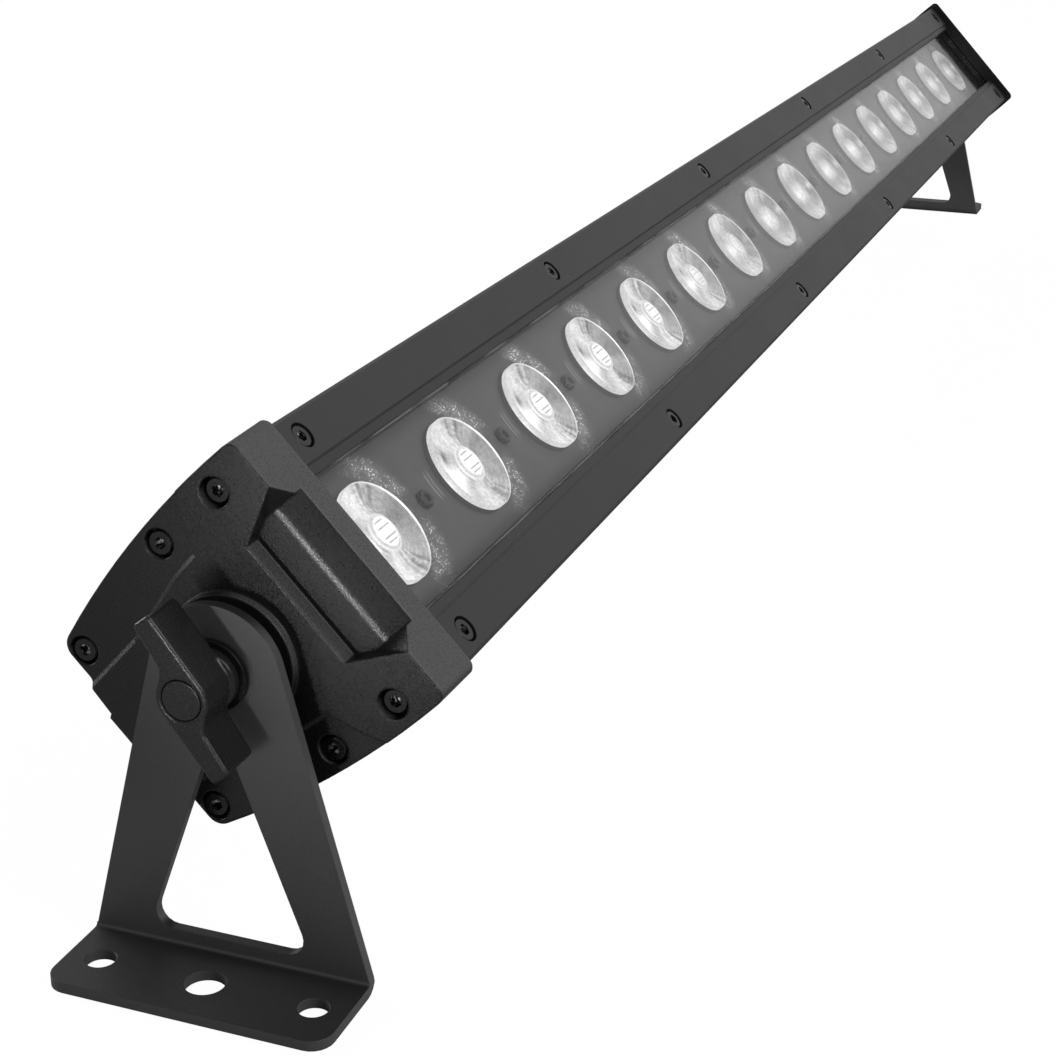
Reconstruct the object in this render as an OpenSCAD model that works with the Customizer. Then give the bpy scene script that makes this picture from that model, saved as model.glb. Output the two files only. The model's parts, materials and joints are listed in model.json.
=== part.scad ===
// Outdoor wall washer light: a one metre aluminium bar that hangs between two folded steel brackets.
// X runs along the bar, Z is up, the feet stand on Z = 0 and the near foot's middle hole is at X = 0.
// Modules draw the bar about its own middle: Y runs across it towards the upper bezel, Z points out
// through the glass and the pivot axis is the X axis.

/* [Bar] */
// Number of lenses along the bar
lens_count = 16; // [6:1:20]
// Distance from one lens to the next
lens_pitch = 60; // [56:1:70]
// Distance from the outer lens centre to the end of the housing
lens_margin = 31.4; // [29:0.2:45]
// Half the width of the end cap at its widest
half_w = 41.2; // [41:0.1:46]
// Radius of the bowed side of the profile
side_r = 260; // [220:5:500]
// Height of the widest place above the pivot
belly_z = 30; // [20:1:34]
// Distance that the bar is tilted from straight up, in degrees
tilt = 46.5; // [0:0.5:90]
// Height of the pivot above the surface that the feet stand on
pivot_h = 85; // [80:1:120]

/* [Housing] */
// How far the end cap stands proud of the housing at the sides
cap_proud = 2; // [1.4:0.1:2.5]
// Wall of the extrusion
wall = 2.8; // [2:0.1:3.2]
// Height of the shelf that carries the light boards
shelf_z = 15; // [13:0.5:16]
// Thickness of that shelf
shelf_t = 4; // [3:0.5:5]
// Half the width of the lens trough
trough_half = 24; // [22.5:0.5:24.5]
// Wall between the trough and the side channel
trough_wall = 2.8; // [2:0.1:3.2]
// Depth of the cooling fins on the back
fin_h = 10; // [6:0.5:11]
// Distance from one fin to the next
fin_pitch = 6; // [5:0.5:8]
// Thickness of one fin
fin_t = 2; // [1.4:0.1:2.6]
// Number of gaps between the fins on each side of the rail
fin_gaps = 2; // [1:1:2]
// Half the width of the rail along the back
rail_half = 9; // [8:0.5:10]
// How far the rail lies in from the back of the end caps
rail_in = 0.4; // [0.2:0.1:1]
// Half the width of the rail's slot at its mouth
slot_half = 3.2; // [2.5:0.1:4]
// Depth of the rail's slot
slot_d = 5.5; // [4:0.1:7]

/* [Bezel and glass] */
// Front face of the bezels above the pivot
bezel_top = 41.2; // [40:0.1:42.5]
// Thickness of the bezels
bezel_t = 4; // [3.5:0.1:5]
// Half the width of the window between the bezels
window_half = 22.4; // [20:0.1:23.5]
// Width of the lowered inner edge of a bezel
bezel_lip_w = 3.1; // [2:0.1:4]
// Depth of that lowered edge
bezel_lip_d = 1.2; // [0.6:0.1:2]
// Half the width of the glass
glass_half = 27.5; // [26:0.1:28]
// Thickness of the glass
glass_t = 4; // [3:0.1:4.5]
// Thickness of the gasket under the glass
glass_gasket_t = 1.2; // [0.8:0.1:1.6]
// Number of screws in one bezel
bezel_screw_count = 6; // [3:1:9]
// Distance of the outer bezel screws from the ends of the housing
bezel_screw_in = 13.9; // [13:0.1:60]
// Distance of the bezel screws from the middle of the bar
bezel_screw_y = 32.3; // [31.5:0.1:33]

/* [Optics] */
// Radius of a lens rim
lens_r = 16.6; // [15:0.1:17.2]
// Front of the lens rims above the pivot
lens_z = 31; // [30:0.1:31.5]
// Height of one lens
lens_h = 12.4; // [11:0.1:13]
// Thickness of the lens rim
lens_rim_t = 1.8; // [1.2:0.1:2.4]
// Thickness of the light boards
board_t = 1.6; // [1:0.1:2]
// Half the width of the light boards
board_half = 20; // [18:0.5:21]
// Back of the mask plate above the pivot
mask_z = 26.4; // [24:0.1:27]
// Thickness of the mask plate
mask_t = 1.3; // [1:0.1:2]

/* [End cap] */
// Depth of the end cap along the bar
cap_depth = 14.3; // [13:0.1:18]
// Front of the end cap above the pivot, at its inner edge
cap_front = 45.1; // [43.5:0.1:46]
// How far the front band falls towards the outer end
cap_fall = 3.1; // [1.5:0.1:3.5]
// Back of the end cap below the pivot
cap_back = 43.6; // [42:0.1:46]
// Radius of the front corners
cap_front_r = 3; // [2:0.1:4]
// Radius of the back corners
cap_back_r = 4.5; // [3:0.1:5]
// Depth of the end cap's wall behind the end face
cap_wall = 5.2; // [4:0.1:6]
// Rise of the middle of the end cap's back edge over its corners
cap_crown = 2.8; // [0.5:0.1:3]
// Depth of the sunk screw lands
land_d = 1.3; // [0.8:0.1:1.8]
// Height of the ledge at the foot of the front scoop
scoop_foot_z = 25.6; // [23:0.1:27]
// Depth of that ledge
scoop_ledge = 5.2; // [3:0.1:5.5]
// Height of the crease in the scoop's back wall
scoop_crease_z = 35.7; // [33:0.1:37]
// Radius of that crease
scoop_crease_r = 8; // [2:0.5:12]
// Depth of the scoop where it leaves the front band
scoop_mouth = 8.3; // [7:0.1:9]
// Radius of the round boss about the pivot
boss_r = 18.3; // [15:0.1:19]
// Height of that boss
boss_h = 2.5; // [1.5:0.1:4]
// Thickness of the end cap's gasket
cap_gasket_t = 1; // [0.6:0.1:1.5]
// Height of the front screws of the end cap above the pivot
screw_front_z = 28.5; // [26:0.1:30]
// Height of the side screws above the pivot
screw_side_z = 4.6; // [2:0.1:7]
// Depth of the back screws below the pivot
screw_back_z = 36.5; // [35:0.1:37]
// Distance of the front screws from the side of the end cap
screw_front_in = 7.1; // [6.8:0.1:8]
// Distance of the side and back screws from the side of the end cap
screw_side_in = 5.9; // [5.6:0.1:7]
// Radius of the screw shanks
screw_r = 2; // [1.5:0.1:2]
// Radius of the socket heads
screw_head_r = 3.5; // [3:0.1:3.6]
// Height of the socket heads in the end cap
screw_head_h = 3; // [2:0.1:4]
// Length of the end cap's screws under the head
cap_screw_len = 20; // [16:1:20]

/* [Bracket] */
// Thickness of the steel plate
plate_t = 3; // [2:0.1:4]
// Half the width of the foot
foot_half = 40.5; // [36:0.5:50]
// Length of the foot from the plate's outer face
foot_len = 27.2; // [24:0.1:40]
// Radius of the bracket's round top
top_r = 18.4; // [16:0.1:22]
// Distance of the foot holes from the plate's outer face
foot_hole_x = 13.7; // [12:0.1:16]
// Distance of the outer foot holes from the middle one
foot_hole_y = 31; // [25:0.5:33]
// Radius of the middle foot hole
foot_hole_r = 5.5; // [4:0.1:7]
// Radius of the outer foot holes
foot_small_r = 4.2; // [3:0.1:5]
// Height of the window's lower edge above the foot's underside
window_sill = 7.2; // [7:0.1:12]
// Half the width of the window at its lower edge
sill_half = 23.9; // [18:0.1:26]
// Height of the point where the window's slanted edges would meet
window_apex = 71.8; // [66:0.1:72]
// Inner radius of the bend
bend_r = 1.2; // [1:0.1:3]

/* [Pivot and knob] */
// Radius of the clamping stud
stud_r = 4; // [3:0.1:5]
// Radius of the friction disc
disc_r = 14.5; // [12:0.1:17]
// Thickness of the friction disc
disc_t = 3.7; // [2:0.1:5]
// Radius of the washer under the knob
knob_washer_r = 9.6; // [8.5:0.1:12]
// Thickness of that washer
knob_washer_t = 1.7; // [1:0.1:3]
// Overall height of the knob from washer to face
knob_h = 15; // [12:0.1:20]
// Depth of the knob's wings
wing_h = 13; // [8:0.1:14]
// Reach of a wing from the pivot
wing_len = 21.6; // [18:0.1:30]
// Radius of the knob's middle
knob_mid_r = 7.2; // [6.8:0.1:9]
// Half the width of a wing at its tip
tip_inner = 1.4; // [0.5:0.1:3]
// Radius of the plain disc in the knob's face
knob_disc_r = 5.3; // [4:0.1:6]
// Direction of the knob's wings, in degrees from the upright
wing_turn = 52; // [0:1:90]

/* [Inside and back] */
// Height of the driver boards above the back wall
standoff_h = 4; // [3:0.5:6]
// Length of the driver board
driver_len = 300; // [120:5:320]
// Length of the control board
control_len = 150; // [60:5:160]
// Half the width of both boards
driver_half = 25; // [20:0.5:26]
// Radius of the cable gland's body
gland_r = 8; // [7:0.1:9]
// Radius of the cable entry
entry_r = 3.5; // [2.5:0.1:4.5]
// Distance of the glands from the housing's ends
gland_in = 50; // [40:1:80]

/* [Hidden] */
$fn = 48;

// Gap between pieces that move against each other
joint_gap = 0.3;
// Gap round a screw, a stud or a bush in its hole
thread_gap = 0.05;
// Gap between pieces that are only laid or slid together
fit_gap = 0.2;
// Overrun of a cut past the face it opens
over = 1;
// Overlap of cuts that meet along an edge
seam = 0.05;

// The bar's lengths and the places along it
housing_len = (lens_count - 1) * lens_pitch + 2 * lens_margin;
housing_end = housing_len / 2;
face_x = housing_end + cap_depth;
boss_x = face_x + boss_h;
plate_in = boss_x + joint_gap + disc_t;
plate_out = plate_in + plate_t;
first_lens = -(lens_count - 1) / 2 * lens_pitch;
lens_places = [for (i = [0:lens_count - 1]) first_lens + i * lens_pitch];
post_places = [for (i = [0:lens_count - 2]) first_lens + (i + 0.5) * lens_pitch];
bezel_screw_pitch = (housing_len - 2 * bezel_screw_in) / (bezel_screw_count - 1);
bezel_places = [for (i = [0:bezel_screw_count - 1])
    (i - (bezel_screw_count - 1) / 2) * bezel_screw_pitch];

// Half the width of the profile at height z, for a profile whose widest half is w
function side_y(z, w) = w - side_r + sqrt(side_r * side_r - (z - belly_z) * (z - belly_z));

// A corner at b between a and c, rounded to radius r by steps chords
function unit(p) = p / norm(p);
function round_corner(a, b, c, r, steps) =
    let (u = unit(a - b), w = unit(c - b), half = acos(u * w) / 2,
        mid = b + unit(u + w) * r / sin(half), from = b + u * r / tan(half) - mid,
        to = b + w * r / tan(half) - mid, start = atan2(from.y, from.x),
        raw = atan2(to.y, to.x) - start, sweep = raw > 180 ? raw - 360 : raw < -180 ? raw + 360 : raw)
    [for (i = [0:steps]) mid + r * [cos(start + sweep * i / steps), sin(start + sweep * i / steps)]];
// An outline whose points are [x, y, radius of the corner]
function rounded(pts, steps = 6) = [for (i = [0:len(pts) - 1])
    let (n = len(pts), p = pts[i], a = pts[(i + n - 1) % n], c = pts[(i + 1) % n])
    each (p[2] == 0 ? [[p.x, p.y]]
        : round_corner([a.x, a.y], [p.x, p.y], [c.x, c.y], p[2], steps))];

// Half of the bar's outline in Y and Z: widest half w, front at top, back at low, with round back
// corners that touch the bowed side, and a middle that stands out by crown
side_steps = 12;
corner_steps = 6;
crown_shares = [[0, 0], [0.213, 0], [0.23, 0.43], [0.42, 0.61], [0.49, 1]];
function half_outline(w, top, low, back_r, crown) =
    let (hub = w - side_r, z = -low + crown + back_r, reach = side_r - back_r,
        y = hub + sqrt(reach * reach - (z - belly_z) * (z - belly_z)), end = atan2(z - belly_z, y - hub),
        from = z + back_r * sin(end))
    concat(crown > 0 ? [for (p = crown_shares) [p.x * w, -low + p.y * crown]] : [[0, -low]],
        [for (i = [0:corner_steps]) let (a = -90 + (end + 90) * i / corner_steps)
            [y + back_r * cos(a), z + back_r * sin(a)]],
        [for (i = [1:side_steps]) let (level = from + (top - from) * i / side_steps)
            [side_y(level, w), level]]);
function mirrored(pts) = concat(pts, [for (i = [len(pts) - 1:-1:1]) [-pts[i].x, pts[i].y]]);

// Sizes that the housing takes from the cap and the glass
housing_w = half_w - cap_proud;
housing_back = cap_back - cap_crown - cap_proud / 2;
housing_top = bezel_top - bezel_t;
glass_z = housing_top - glass_t;
rebate_z = glass_z - glass_gasket_t;
rebate_half = glass_half + fit_gap;
chamber_z = -housing_back + fin_h + wall;
back_z = chamber_z - wall;
rail_back = cap_back - rail_in;
slot_lip = 1.8;
shelf_back = shelf_z - shelf_t;
board_top = shelf_z + board_t;

// The inner edge of a screw land in shares of half_w and cap_back, from the side to the back
land_shares = [[1.03, 0.48], [0.947, 0.412], [0.835, 0.347], [0.704, 0.293], [0.65, 0.262],
    [0.626, 0.033], [0.5, -0.468], [0.459, -1.03]];
land_line = [for (p = land_shares) [p.x * half_w, p.y * cap_back]];
land_slope = 1.4;

// Screws of the end cap: their places in Y and Z, on one side
cap_screw_places = [
    [side_y(screw_front_z, half_w) - screw_front_in, screw_front_z],
    [side_y(screw_side_z, half_w) - screw_side_in, screw_side_z],
    [side_y(-screw_back_z, half_w) - screw_side_in, -screw_back_z]];
screw_sides = [for (s = [-1, 1]) for (p = cap_screw_places) [s * p.x, p.y]];
screw_sink = 1.65;
head_gap = 0.7;
port_wall = 2.2;
port_r = screw_r + port_wall;

// Places a child that is drawn about the middle of the bar's length
row_x = plate_out + foot_hole_x;
module on_row() {
    translate([row_x, 0, 0]) children();
}

// Places a child in the bar's frame, tilted about the pivot
module in_bar() {
    translate([row_x, 0, pivot_h]) rotate([tilt, 0, 0]) children();
}

// Places a child drawn for the near end, at negative X, also at the far end
module at_far() {
    mirror([1, 0, 0]) children();
}

// A prism along X from x0 to x1 of an outline drawn in Y and Z
module along_x(x0, x1) {
    translate([x0, 0, 0]) rotate([90, 0, 90]) linear_extrude(x1 - x0) children();
}

// A round bar along X from x0 to x1
module rod_x(x0, x1, r) {
    translate([x0, 0, 0]) rotate([0, 90, 0]) cylinder(h = x1 - x0, r = r);
}

// A box between two corners
module box(low, high) {
    translate(low) cube(high - low);
}

// Housing

module outline(w, top, low, back_r, crown) {
    polygon(mirrored(half_outline(w, top, low, back_r, crown)));
}

chamber_steps = 6;

// The extrusion's section: lens trough, side channels, driver chamber, fins and screw ports
module housing_section() {
    side_channel_low = shelf_z;
    side_channel_top = rebate_z - wall * 2;
    difference() {
        union() {
            outline(housing_w, housing_top, housing_back, cap_back_r, 0);
            translate([-rail_half, -rail_back]) square([2 * rail_half, rail_back + back_z]);
        }
        translate([-trough_half, shelf_z]) square([2 * trough_half, housing_top]);
        translate([-rebate_half, rebate_z]) square([2 * rebate_half, housing_top]);
        for (s = [-1, 1]) scale([s, 1]) difference() {
            polygon([[trough_half + trough_wall, side_channel_low],
                [side_y(side_channel_low, housing_w) - wall, side_channel_low],
                [side_y(side_channel_top, housing_w) - wall, side_channel_top],
                [trough_half + trough_wall, side_channel_top]]);
            translate(cap_screw_places[0]) circle(port_r);
        }
        difference() {
            polygon([for (s = [-1, 1]) for (i = [0:chamber_steps])
                let (rise = (shelf_back - chamber_z) * i / chamber_steps,
                    z = s < 0 ? chamber_z + rise : shelf_back - rise)
                [s * (side_y(z, housing_w) - wall), z]]);
            for (s = [-1, 1]) translate([s * cap_screw_places[1].x, cap_screw_places[1].y]) circle(port_r);
        }
        for (s = [-1, 1]) scale([s, 1]) for (i = [0:fin_gaps - 1])
            translate([rail_half + i * fin_pitch, -cap_back])
                square([fin_pitch - fin_t, cap_back + back_z]);
        translate([-slot_half, -rail_back - over]) square([2 * slot_half, slot_d + over]);
        translate([-slot_half - slot_lip, -rail_back + slot_lip])
            square([2 * (slot_half + slot_lip), slot_d - slot_lip]);
        for (p = screw_sides) translate(p) circle(screw_r + thread_gap);
    }
}

// Flat pockets in the fins for the glands and the vent
pocket_margin = 5;
pocket_half = gland_r + pocket_margin;
gland_x = housing_end - gland_in;
gland_shoulder = 2;
gland_thread_r = gland_r - gland_shoulder;
vent_r = 6;
vent_thread_r = vent_r / 2;
bezel_thread = 9;

module housing() {
    color([0.1, 0.1, 0.11]) in_bar() difference() {
        along_x(-housing_end, housing_end) housing_section();
        for (x = [-gland_x, gland_x, 0])
            box([x - pocket_half, -pocket_half, -rail_back - over], [x + pocket_half, pocket_half, back_z]);
        for (x = [-gland_x, gland_x]) translate([x, 0, back_z - over])
            cylinder(h = wall + 2 * over, r = gland_thread_r + thread_gap);
        translate([0, 0, back_z - over]) cylinder(h = wall + 2 * over, r = vent_thread_r + thread_gap);
        for (x = bezel_places) for (s = [-1, 1])
            translate([x, s * bezel_screw_y, housing_top - bezel_thread])
                cylinder(h = bezel_thread + over, r = screw_r + thread_gap);
    }
}

// Light boards, emitters, lenses and mask

board_in = 6;
board_end = housing_end - board_in;
emitter_half = 3.5;
emitter_t = 0.8;
dome_r = 2.6;

module led_boards() {
    color([0.85, 0.86, 0.84]) in_bar() for (s = [-1, 1])
        box([s < 0 ? -board_end : fit_gap, -board_half, shelf_z],
            [s < 0 ? -fit_gap : board_end, board_half, board_top]);
}

module led_emitters() {
    color([1, 0.95, 0.7]) in_bar() for (x = lens_places) translate([x, 0, board_top]) {
        translate([-emitter_half, -emitter_half, 0]) cube([2 * emitter_half, 2 * emitter_half, emitter_t]);
        translate([0, 0, emitter_t]) intersection() {
            sphere(r = dome_r);
            cylinder(h = dome_r, r = dome_r);
        }
    }
}

// The lens is a solid bowl that widens from its foot to its rim, with a well over the emitter
lens_foot_r = 5.6;
well_r = 4;
well_h = 4.4;
bowl_steps = 8;
dish_d = 0.6;
lens_foot_z = lens_z - lens_h;
lens_rim_w = 1.6;
bowl_r = lens_r - lens_rim_w;
well_taper = 1;
function bowl(t) = [lens_foot_r + (bowl_r - lens_foot_r) * sqrt(t),
    lens_foot_z + (lens_h - lens_rim_t) * t];

module lenses() {
    color([0.9, 0.93, 0.95]) in_bar() for (x = lens_places) translate([x, 0, 0])
        rotate_extrude($fn = 64) polygon(concat(
            [[0, lens_z - dish_d], [0, lens_foot_z + well_h], [well_r - well_taper, lens_foot_z + well_h],
                [well_r, lens_foot_z]],
            [for (i = [0:bowl_steps]) bowl(i / bowl_steps)],
            [[lens_r, lens_z - lens_rim_t], [lens_r, lens_z], [bowl_r, lens_z]]));
}

holder_wall = 0.9;
holder_r = bowl_r + fit_gap + holder_wall;

module lens_holders() {
    color([0.12, 0.12, 0.12]) in_bar() for (x = lens_places) translate([x, 0, board_top]) difference() {
        cylinder(h = lens_z - lens_rim_t - board_top, r = holder_r);
        translate([0, 0, -over])
            cylinder(h = lens_z - board_top + over, r = holder_r - holder_wall);
    }
}

post_r = 3;
mask_screw_r = 1.5;
mask_head_r = 2.8;
mask_head_h = 1.9;
mask_screw_len = 8;

module mask_plate() {
    color([0.3, 0.3, 0.31]) in_bar() difference() {
        box([-board_end, -trough_half + fit_gap, mask_z],
            [board_end, trough_half - fit_gap, mask_z + mask_t]);
        for (x = lens_places) translate([x, 0, mask_z - over])
            cylinder(h = mask_t + 2 * over, r = holder_r + fit_gap);
        for (x = post_places) translate([x, 0, mask_z - over])
            cylinder(h = mask_t + 2 * over, r = mask_screw_r + thread_gap);
    }
}

module mask_posts() {
    color("silver") in_bar() for (x = post_places) translate([x, 0, board_top]) difference() {
        cylinder(h = mask_z - board_top, r = post_r);
        translate([0, 0, over]) cylinder(h = mask_z - board_top, r = mask_screw_r + thread_gap);
    }
}

// A socket screw that points down, with its head standing on z = 0
head_chamfer_share = 0.25;
key_floor_share = 0.4;

module socket_screw(head_r, head_h, shank_r, len, key_r) {
    chamfer = head_chamfer_share * key_r;
    difference() {
        union() {
            cylinder(h = head_h - chamfer, r = head_r);
            translate([0, 0, head_h - chamfer]) cylinder(h = chamfer, r1 = head_r, r2 = head_r - chamfer);
            translate([0, 0, -len]) cylinder(h = len + over / 2, r = shank_r);
        }
        translate([0, 0, key_floor_share * head_h]) cylinder(h = head_h, r = key_r, $fn = 6);
    }
}

module mask_screws() {
    color([0.08, 0.08, 0.08]) in_bar() for (x = post_places) translate([x, 0, mask_z + mask_t])
        socket_screw(mask_head_r, mask_head_h, mask_screw_r, mask_screw_len, mask_screw_r);
}

// Glass, gasket and bezels

module glass_gasket() {
    color([0.06, 0.06, 0.06]) in_bar() difference() {
        box([-housing_end + fit_gap, -glass_half, rebate_z], [housing_end - fit_gap, glass_half, glass_z]);
        box([-board_end, -trough_half, rebate_z - over], [board_end, trough_half, glass_z + over]);
    }
}

module front_glass() {
    color([0.75, 0.8, 0.85, 0.35]) in_bar()
        box([-housing_end + fit_gap, -glass_half, glass_z],
            [housing_end - fit_gap, glass_half, housing_top]);
}

head_seat = 1.4;
head_below = 0.4;
bezel_head_h = bezel_t - head_seat - head_below;
bezel_chamfer = 1;
key_r = 1.75;

// One bezel: a clamping strip with a lowered inner edge and sunk screw seats
module bezel(s) {
    out = side_y(housing_top, housing_w);
    step_y = window_half + bezel_lip_w;
    color([0.11, 0.11, 0.12]) in_bar() difference() {
        along_x(-housing_end, housing_end) scale([s, 1]) polygon([[window_half, housing_top],
            [out, housing_top], [out, bezel_top - bezel_chamfer], [out - bezel_chamfer, bezel_top],
            [step_y, bezel_top], [step_y - bezel_lip_d / 2, bezel_top - bezel_lip_d / 2],
            [window_half, bezel_top - bezel_lip_d]]);
        for (x = bezel_places) translate([x, s * bezel_screw_y, 0]) {
            translate([0, 0, housing_top + head_seat])
                cylinder(h = bezel_t, r = screw_head_r + head_gap / 2);
            translate([0, 0, housing_top - over]) cylinder(h = bezel_t, r = screw_r + thread_gap);
        }
    }
}

module bezel_upper() {
    bezel(1);
}

module bezel_lower() {
    bezel(-1);
}

module bezel_screws() {
    color([0.05, 0.05, 0.05]) in_bar() for (x = bezel_places) for (s = [-1, 1])
        translate([x, s * bezel_screw_y, housing_top + head_seat])
            socket_screw(screw_head_r, bezel_head_h, screw_r, head_seat + bezel_thread - over, key_r);
}

// End caps, drawn for the near end: the end face looks towards negative X

// Half the scoop's width at its foot and at its mouth, and the narrower width of its back wall
scoop_foot_share = 0.455;
scoop_mouth_share = 0.635;
scoop_back_share = 0.515;

// The cut that makes the scoop: its profile, its flared sides and its narrower back are crossed
module scoop() {
    x = -face_x;
    top = cap_front + over;
    mouth_z = cap_front - cap_fall;
    slant = (scoop_mouth - scoop_ledge) / (cap_front - scoop_crease_z);
    foot_half_w = scoop_foot_share * half_w;
    mouth_half_w = scoop_mouth_share * half_w;
    back_half_w = scoop_back_share * half_w;
    flare = (mouth_half_w - foot_half_w) / (mouth_z - scoop_foot_z);
    splay = (mouth_half_w - back_half_w) / scoop_ledge;
    intersection() {
        translate([0, half_w, 0]) rotate([90, 0, 0]) linear_extrude(2 * half_w) polygon(rounded([
            [x - over, scoop_foot_z, 0], [x + scoop_ledge, scoop_foot_z, 0],
            [x + scoop_ledge, scoop_crease_z, scoop_crease_r],
            [x + scoop_ledge + slant * (top - scoop_crease_z), top, 0], [x - over, top, 0]]));
        along_x(x - over * 2, x + cap_depth) polygon([
            [-foot_half_w, scoop_foot_z - over], [foot_half_w, scoop_foot_z - over],
            [foot_half_w, scoop_foot_z],
            [foot_half_w + flare * (top + over - scoop_foot_z), top + over],
            [-foot_half_w - flare * (top + over - scoop_foot_z), top + over],
            [-foot_half_w, scoop_foot_z]]);
        translate([0, 0, scoop_foot_z - over * 2]) linear_extrude(top) polygon([
            [x - over * 2, -mouth_half_w - splay * over * 2], [x + scoop_ledge, -back_half_w],
            [x + cap_depth, -back_half_w], [x + cap_depth, back_half_w],
            [x + scoop_ledge, back_half_w], [x - over * 2, mouth_half_w + splay * over * 2]]);
    }
}

// A wedge that slopes the inner wall of a land from a to b
module land_ramp(a, b) {
    run = unit(b - a);
    translate([-face_x, a.x, a.y]) rotate([atan2(-run.x, run.y), 0, 0]) translate([0, 0, -seam])
        linear_extrude(norm(b - a) + 2 * seam) polygon([[land_d, -seam], [land_d, 0],
            [-over, land_slope * (1 + over / land_d)], [-over, -seam]]);
}

// The sunk land under two of the screws, its edge at the front plain and its inner wall sloped
module land(s) {
    scale([1, s, 1]) {
        along_x(-face_x - over, -face_x + land_d)
            polygon(concat(land_line, [[half_w + over, -cap_back - over]]));
        for (i = [len(land_line) - 4:len(land_line) - 2]) land_ramp(land_line[i], land_line[i + 1]);
    }
}

// Limits the front of the cap to its falling band, with round corners
module front_limit() {
    fall = atan(cap_fall / cap_depth);
    top_half = side_y(cap_front - cap_front_r, half_w);
    translate([-housing_end, 0, cap_front]) rotate([0, -fall, 0]) rotate([90, 0, -90])
        translate([0, 0, -over * 4]) linear_extrude(cap_depth * 2 + cap_back) polygon(rounded([
            [-top_half, 0, cap_front_r], [top_half, 0, cap_front_r],
            [half_w + over, -belly_z, 0], [half_w + over, -2 * cap_front - cap_back, 0],
            [-half_w - over, -2 * cap_front - cap_back, 0], [-half_w - over, -belly_z, 0]], 5));
}

bush_r = 7;
bush_floor = 3;
bush_len = cap_depth + boss_h - bush_floor;
hollow_shares = [0.72, 0.5];

module end_cap() {
    difference() {
        union() {
            intersection() {
                along_x(-face_x, -housing_end)
                    outline(half_w, cap_front + over, cap_back, cap_back_r, cap_crown);
                front_limit();
            }
            rod_x(-boss_x, -face_x + over, boss_r);
        }
        scoop();
        for (s = [-1, 1]) land(s);
        // The hollow behind the end face leaves the wall, the pivot's core and the screw columns
        difference() {
            along_x(-face_x + cap_wall, -housing_end + over)
                polygon(rounded([
                    [hollow_shares[0] * half_w, scoop_foot_z - wall, wall],
                    [hollow_shares[0] * half_w, -scoop_foot_z, wall],
                    [hollow_shares[1] * half_w, wall * 2 - cap_back, wall],
                    [-hollow_shares[1] * half_w, wall * 2 - cap_back, wall],
                    [-hollow_shares[0] * half_w, -scoop_foot_z, wall],
                    [-hollow_shares[0] * half_w, scoop_foot_z - wall, wall]], 3));
            rod_x(-face_x, -housing_end, bush_r + wall);
            for (p = screw_sides) translate([0, p.x, p.y]) rod_x(-face_x, -housing_end, port_r);
        }
        // The seat of the gasket
        along_x(-housing_end - cap_gasket_t, -housing_end + over)
            outline(housing_w - thread_gap, housing_top + fit_gap, housing_back - thread_gap,
                cap_back_r, 0);
        rod_x(-boss_x - over, -boss_x + bush_len, bush_r + thread_gap);
        for (p = screw_sides) translate([0, p.x, p.y]) {
            rod_x(-face_x - over, -face_x + screw_sink + screw_head_h, screw_head_r + head_gap);
            rod_x(-face_x - over, -housing_end + over, screw_r + thread_gap);
        }
    }
}

module end_cap_near() {
    color([0.12, 0.12, 0.13]) in_bar() end_cap();
}

module end_cap_far() {
    color([0.12, 0.12, 0.13]) in_bar() at_far() end_cap();
}

gasket_rim = 6;

module cap_gasket() {
    difference() {
        along_x(-housing_end - cap_gasket_t, -housing_end)
            outline(housing_w - fit_gap, housing_top, housing_back - fit_gap, cap_back_r, 0);
        along_x(-housing_end - cap_gasket_t - over, -housing_end + over)
            polygon([[-trough_half + gasket_rim / 2, shelf_z], [trough_half - gasket_rim / 2, shelf_z],
                [trough_half, shelf_back - gasket_rim * 2], [boss_r, chamber_z], [-boss_r, chamber_z],
                [-trough_half, shelf_back - gasket_rim * 2]]);
        for (p = screw_sides) translate([0, p.x, p.y])
            rod_x(-housing_end - cap_gasket_t - over, -housing_end + over, screw_r + fit_gap);
    }
}

module cap_gasket_near() {
    color([0.2, 0.2, 0.2]) in_bar() cap_gasket();
}

module cap_gasket_far() {
    color([0.2, 0.2, 0.2]) in_bar() at_far() cap_gasket();
}

module cap_screws() {
    for (p = screw_sides) translate([-face_x + screw_sink + screw_head_h, p.x, p.y]) rotate([0, -90, 0])
        socket_screw(screw_head_r, screw_head_h, screw_r, cap_screw_len, key_r);
}

module cap_screws_near() {
    color([0.05, 0.05, 0.05]) in_bar() cap_screws();
}

module cap_screws_far() {
    color([0.05, 0.05, 0.05]) in_bar() at_far() cap_screws();
}

module pivot_bush() {
    difference() {
        rod_x(-boss_x, -boss_x + bush_len, bush_r);
        rod_x(-boss_x - over, -boss_x + bush_len + over, stud_r + thread_gap);
    }
}

module pivot_bush_near() {
    color("goldenrod") in_bar() pivot_bush();
}

module pivot_bush_far() {
    color("goldenrod") in_bar() at_far() pivot_bush();
}

// Driver and control electronics in the back chamber

driver_x = [-housing_end + gland_in * 2, -housing_end + gland_in * 2 + driver_len];
control_x = [housing_end - gland_in * 2 - control_len, housing_end - gland_in * 2];
driver_z = chamber_z + standoff_h;
part_rise = 18;
coil_len = 34;
can_r = 8;
can_h = 20;
chip_t = 2;
board_rim = 8;
coil_shares = [0.3, 0.55];
can_first_share = 0.72;
can_step_share = 0.07;
chip_shares = [0.3, 0.6];

module driver_board() {
    color([0.1, 0.35, 0.2]) in_bar()
        box([driver_x[0], -driver_half, driver_z], [driver_x[1], driver_half, driver_z + board_t]);
}

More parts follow.
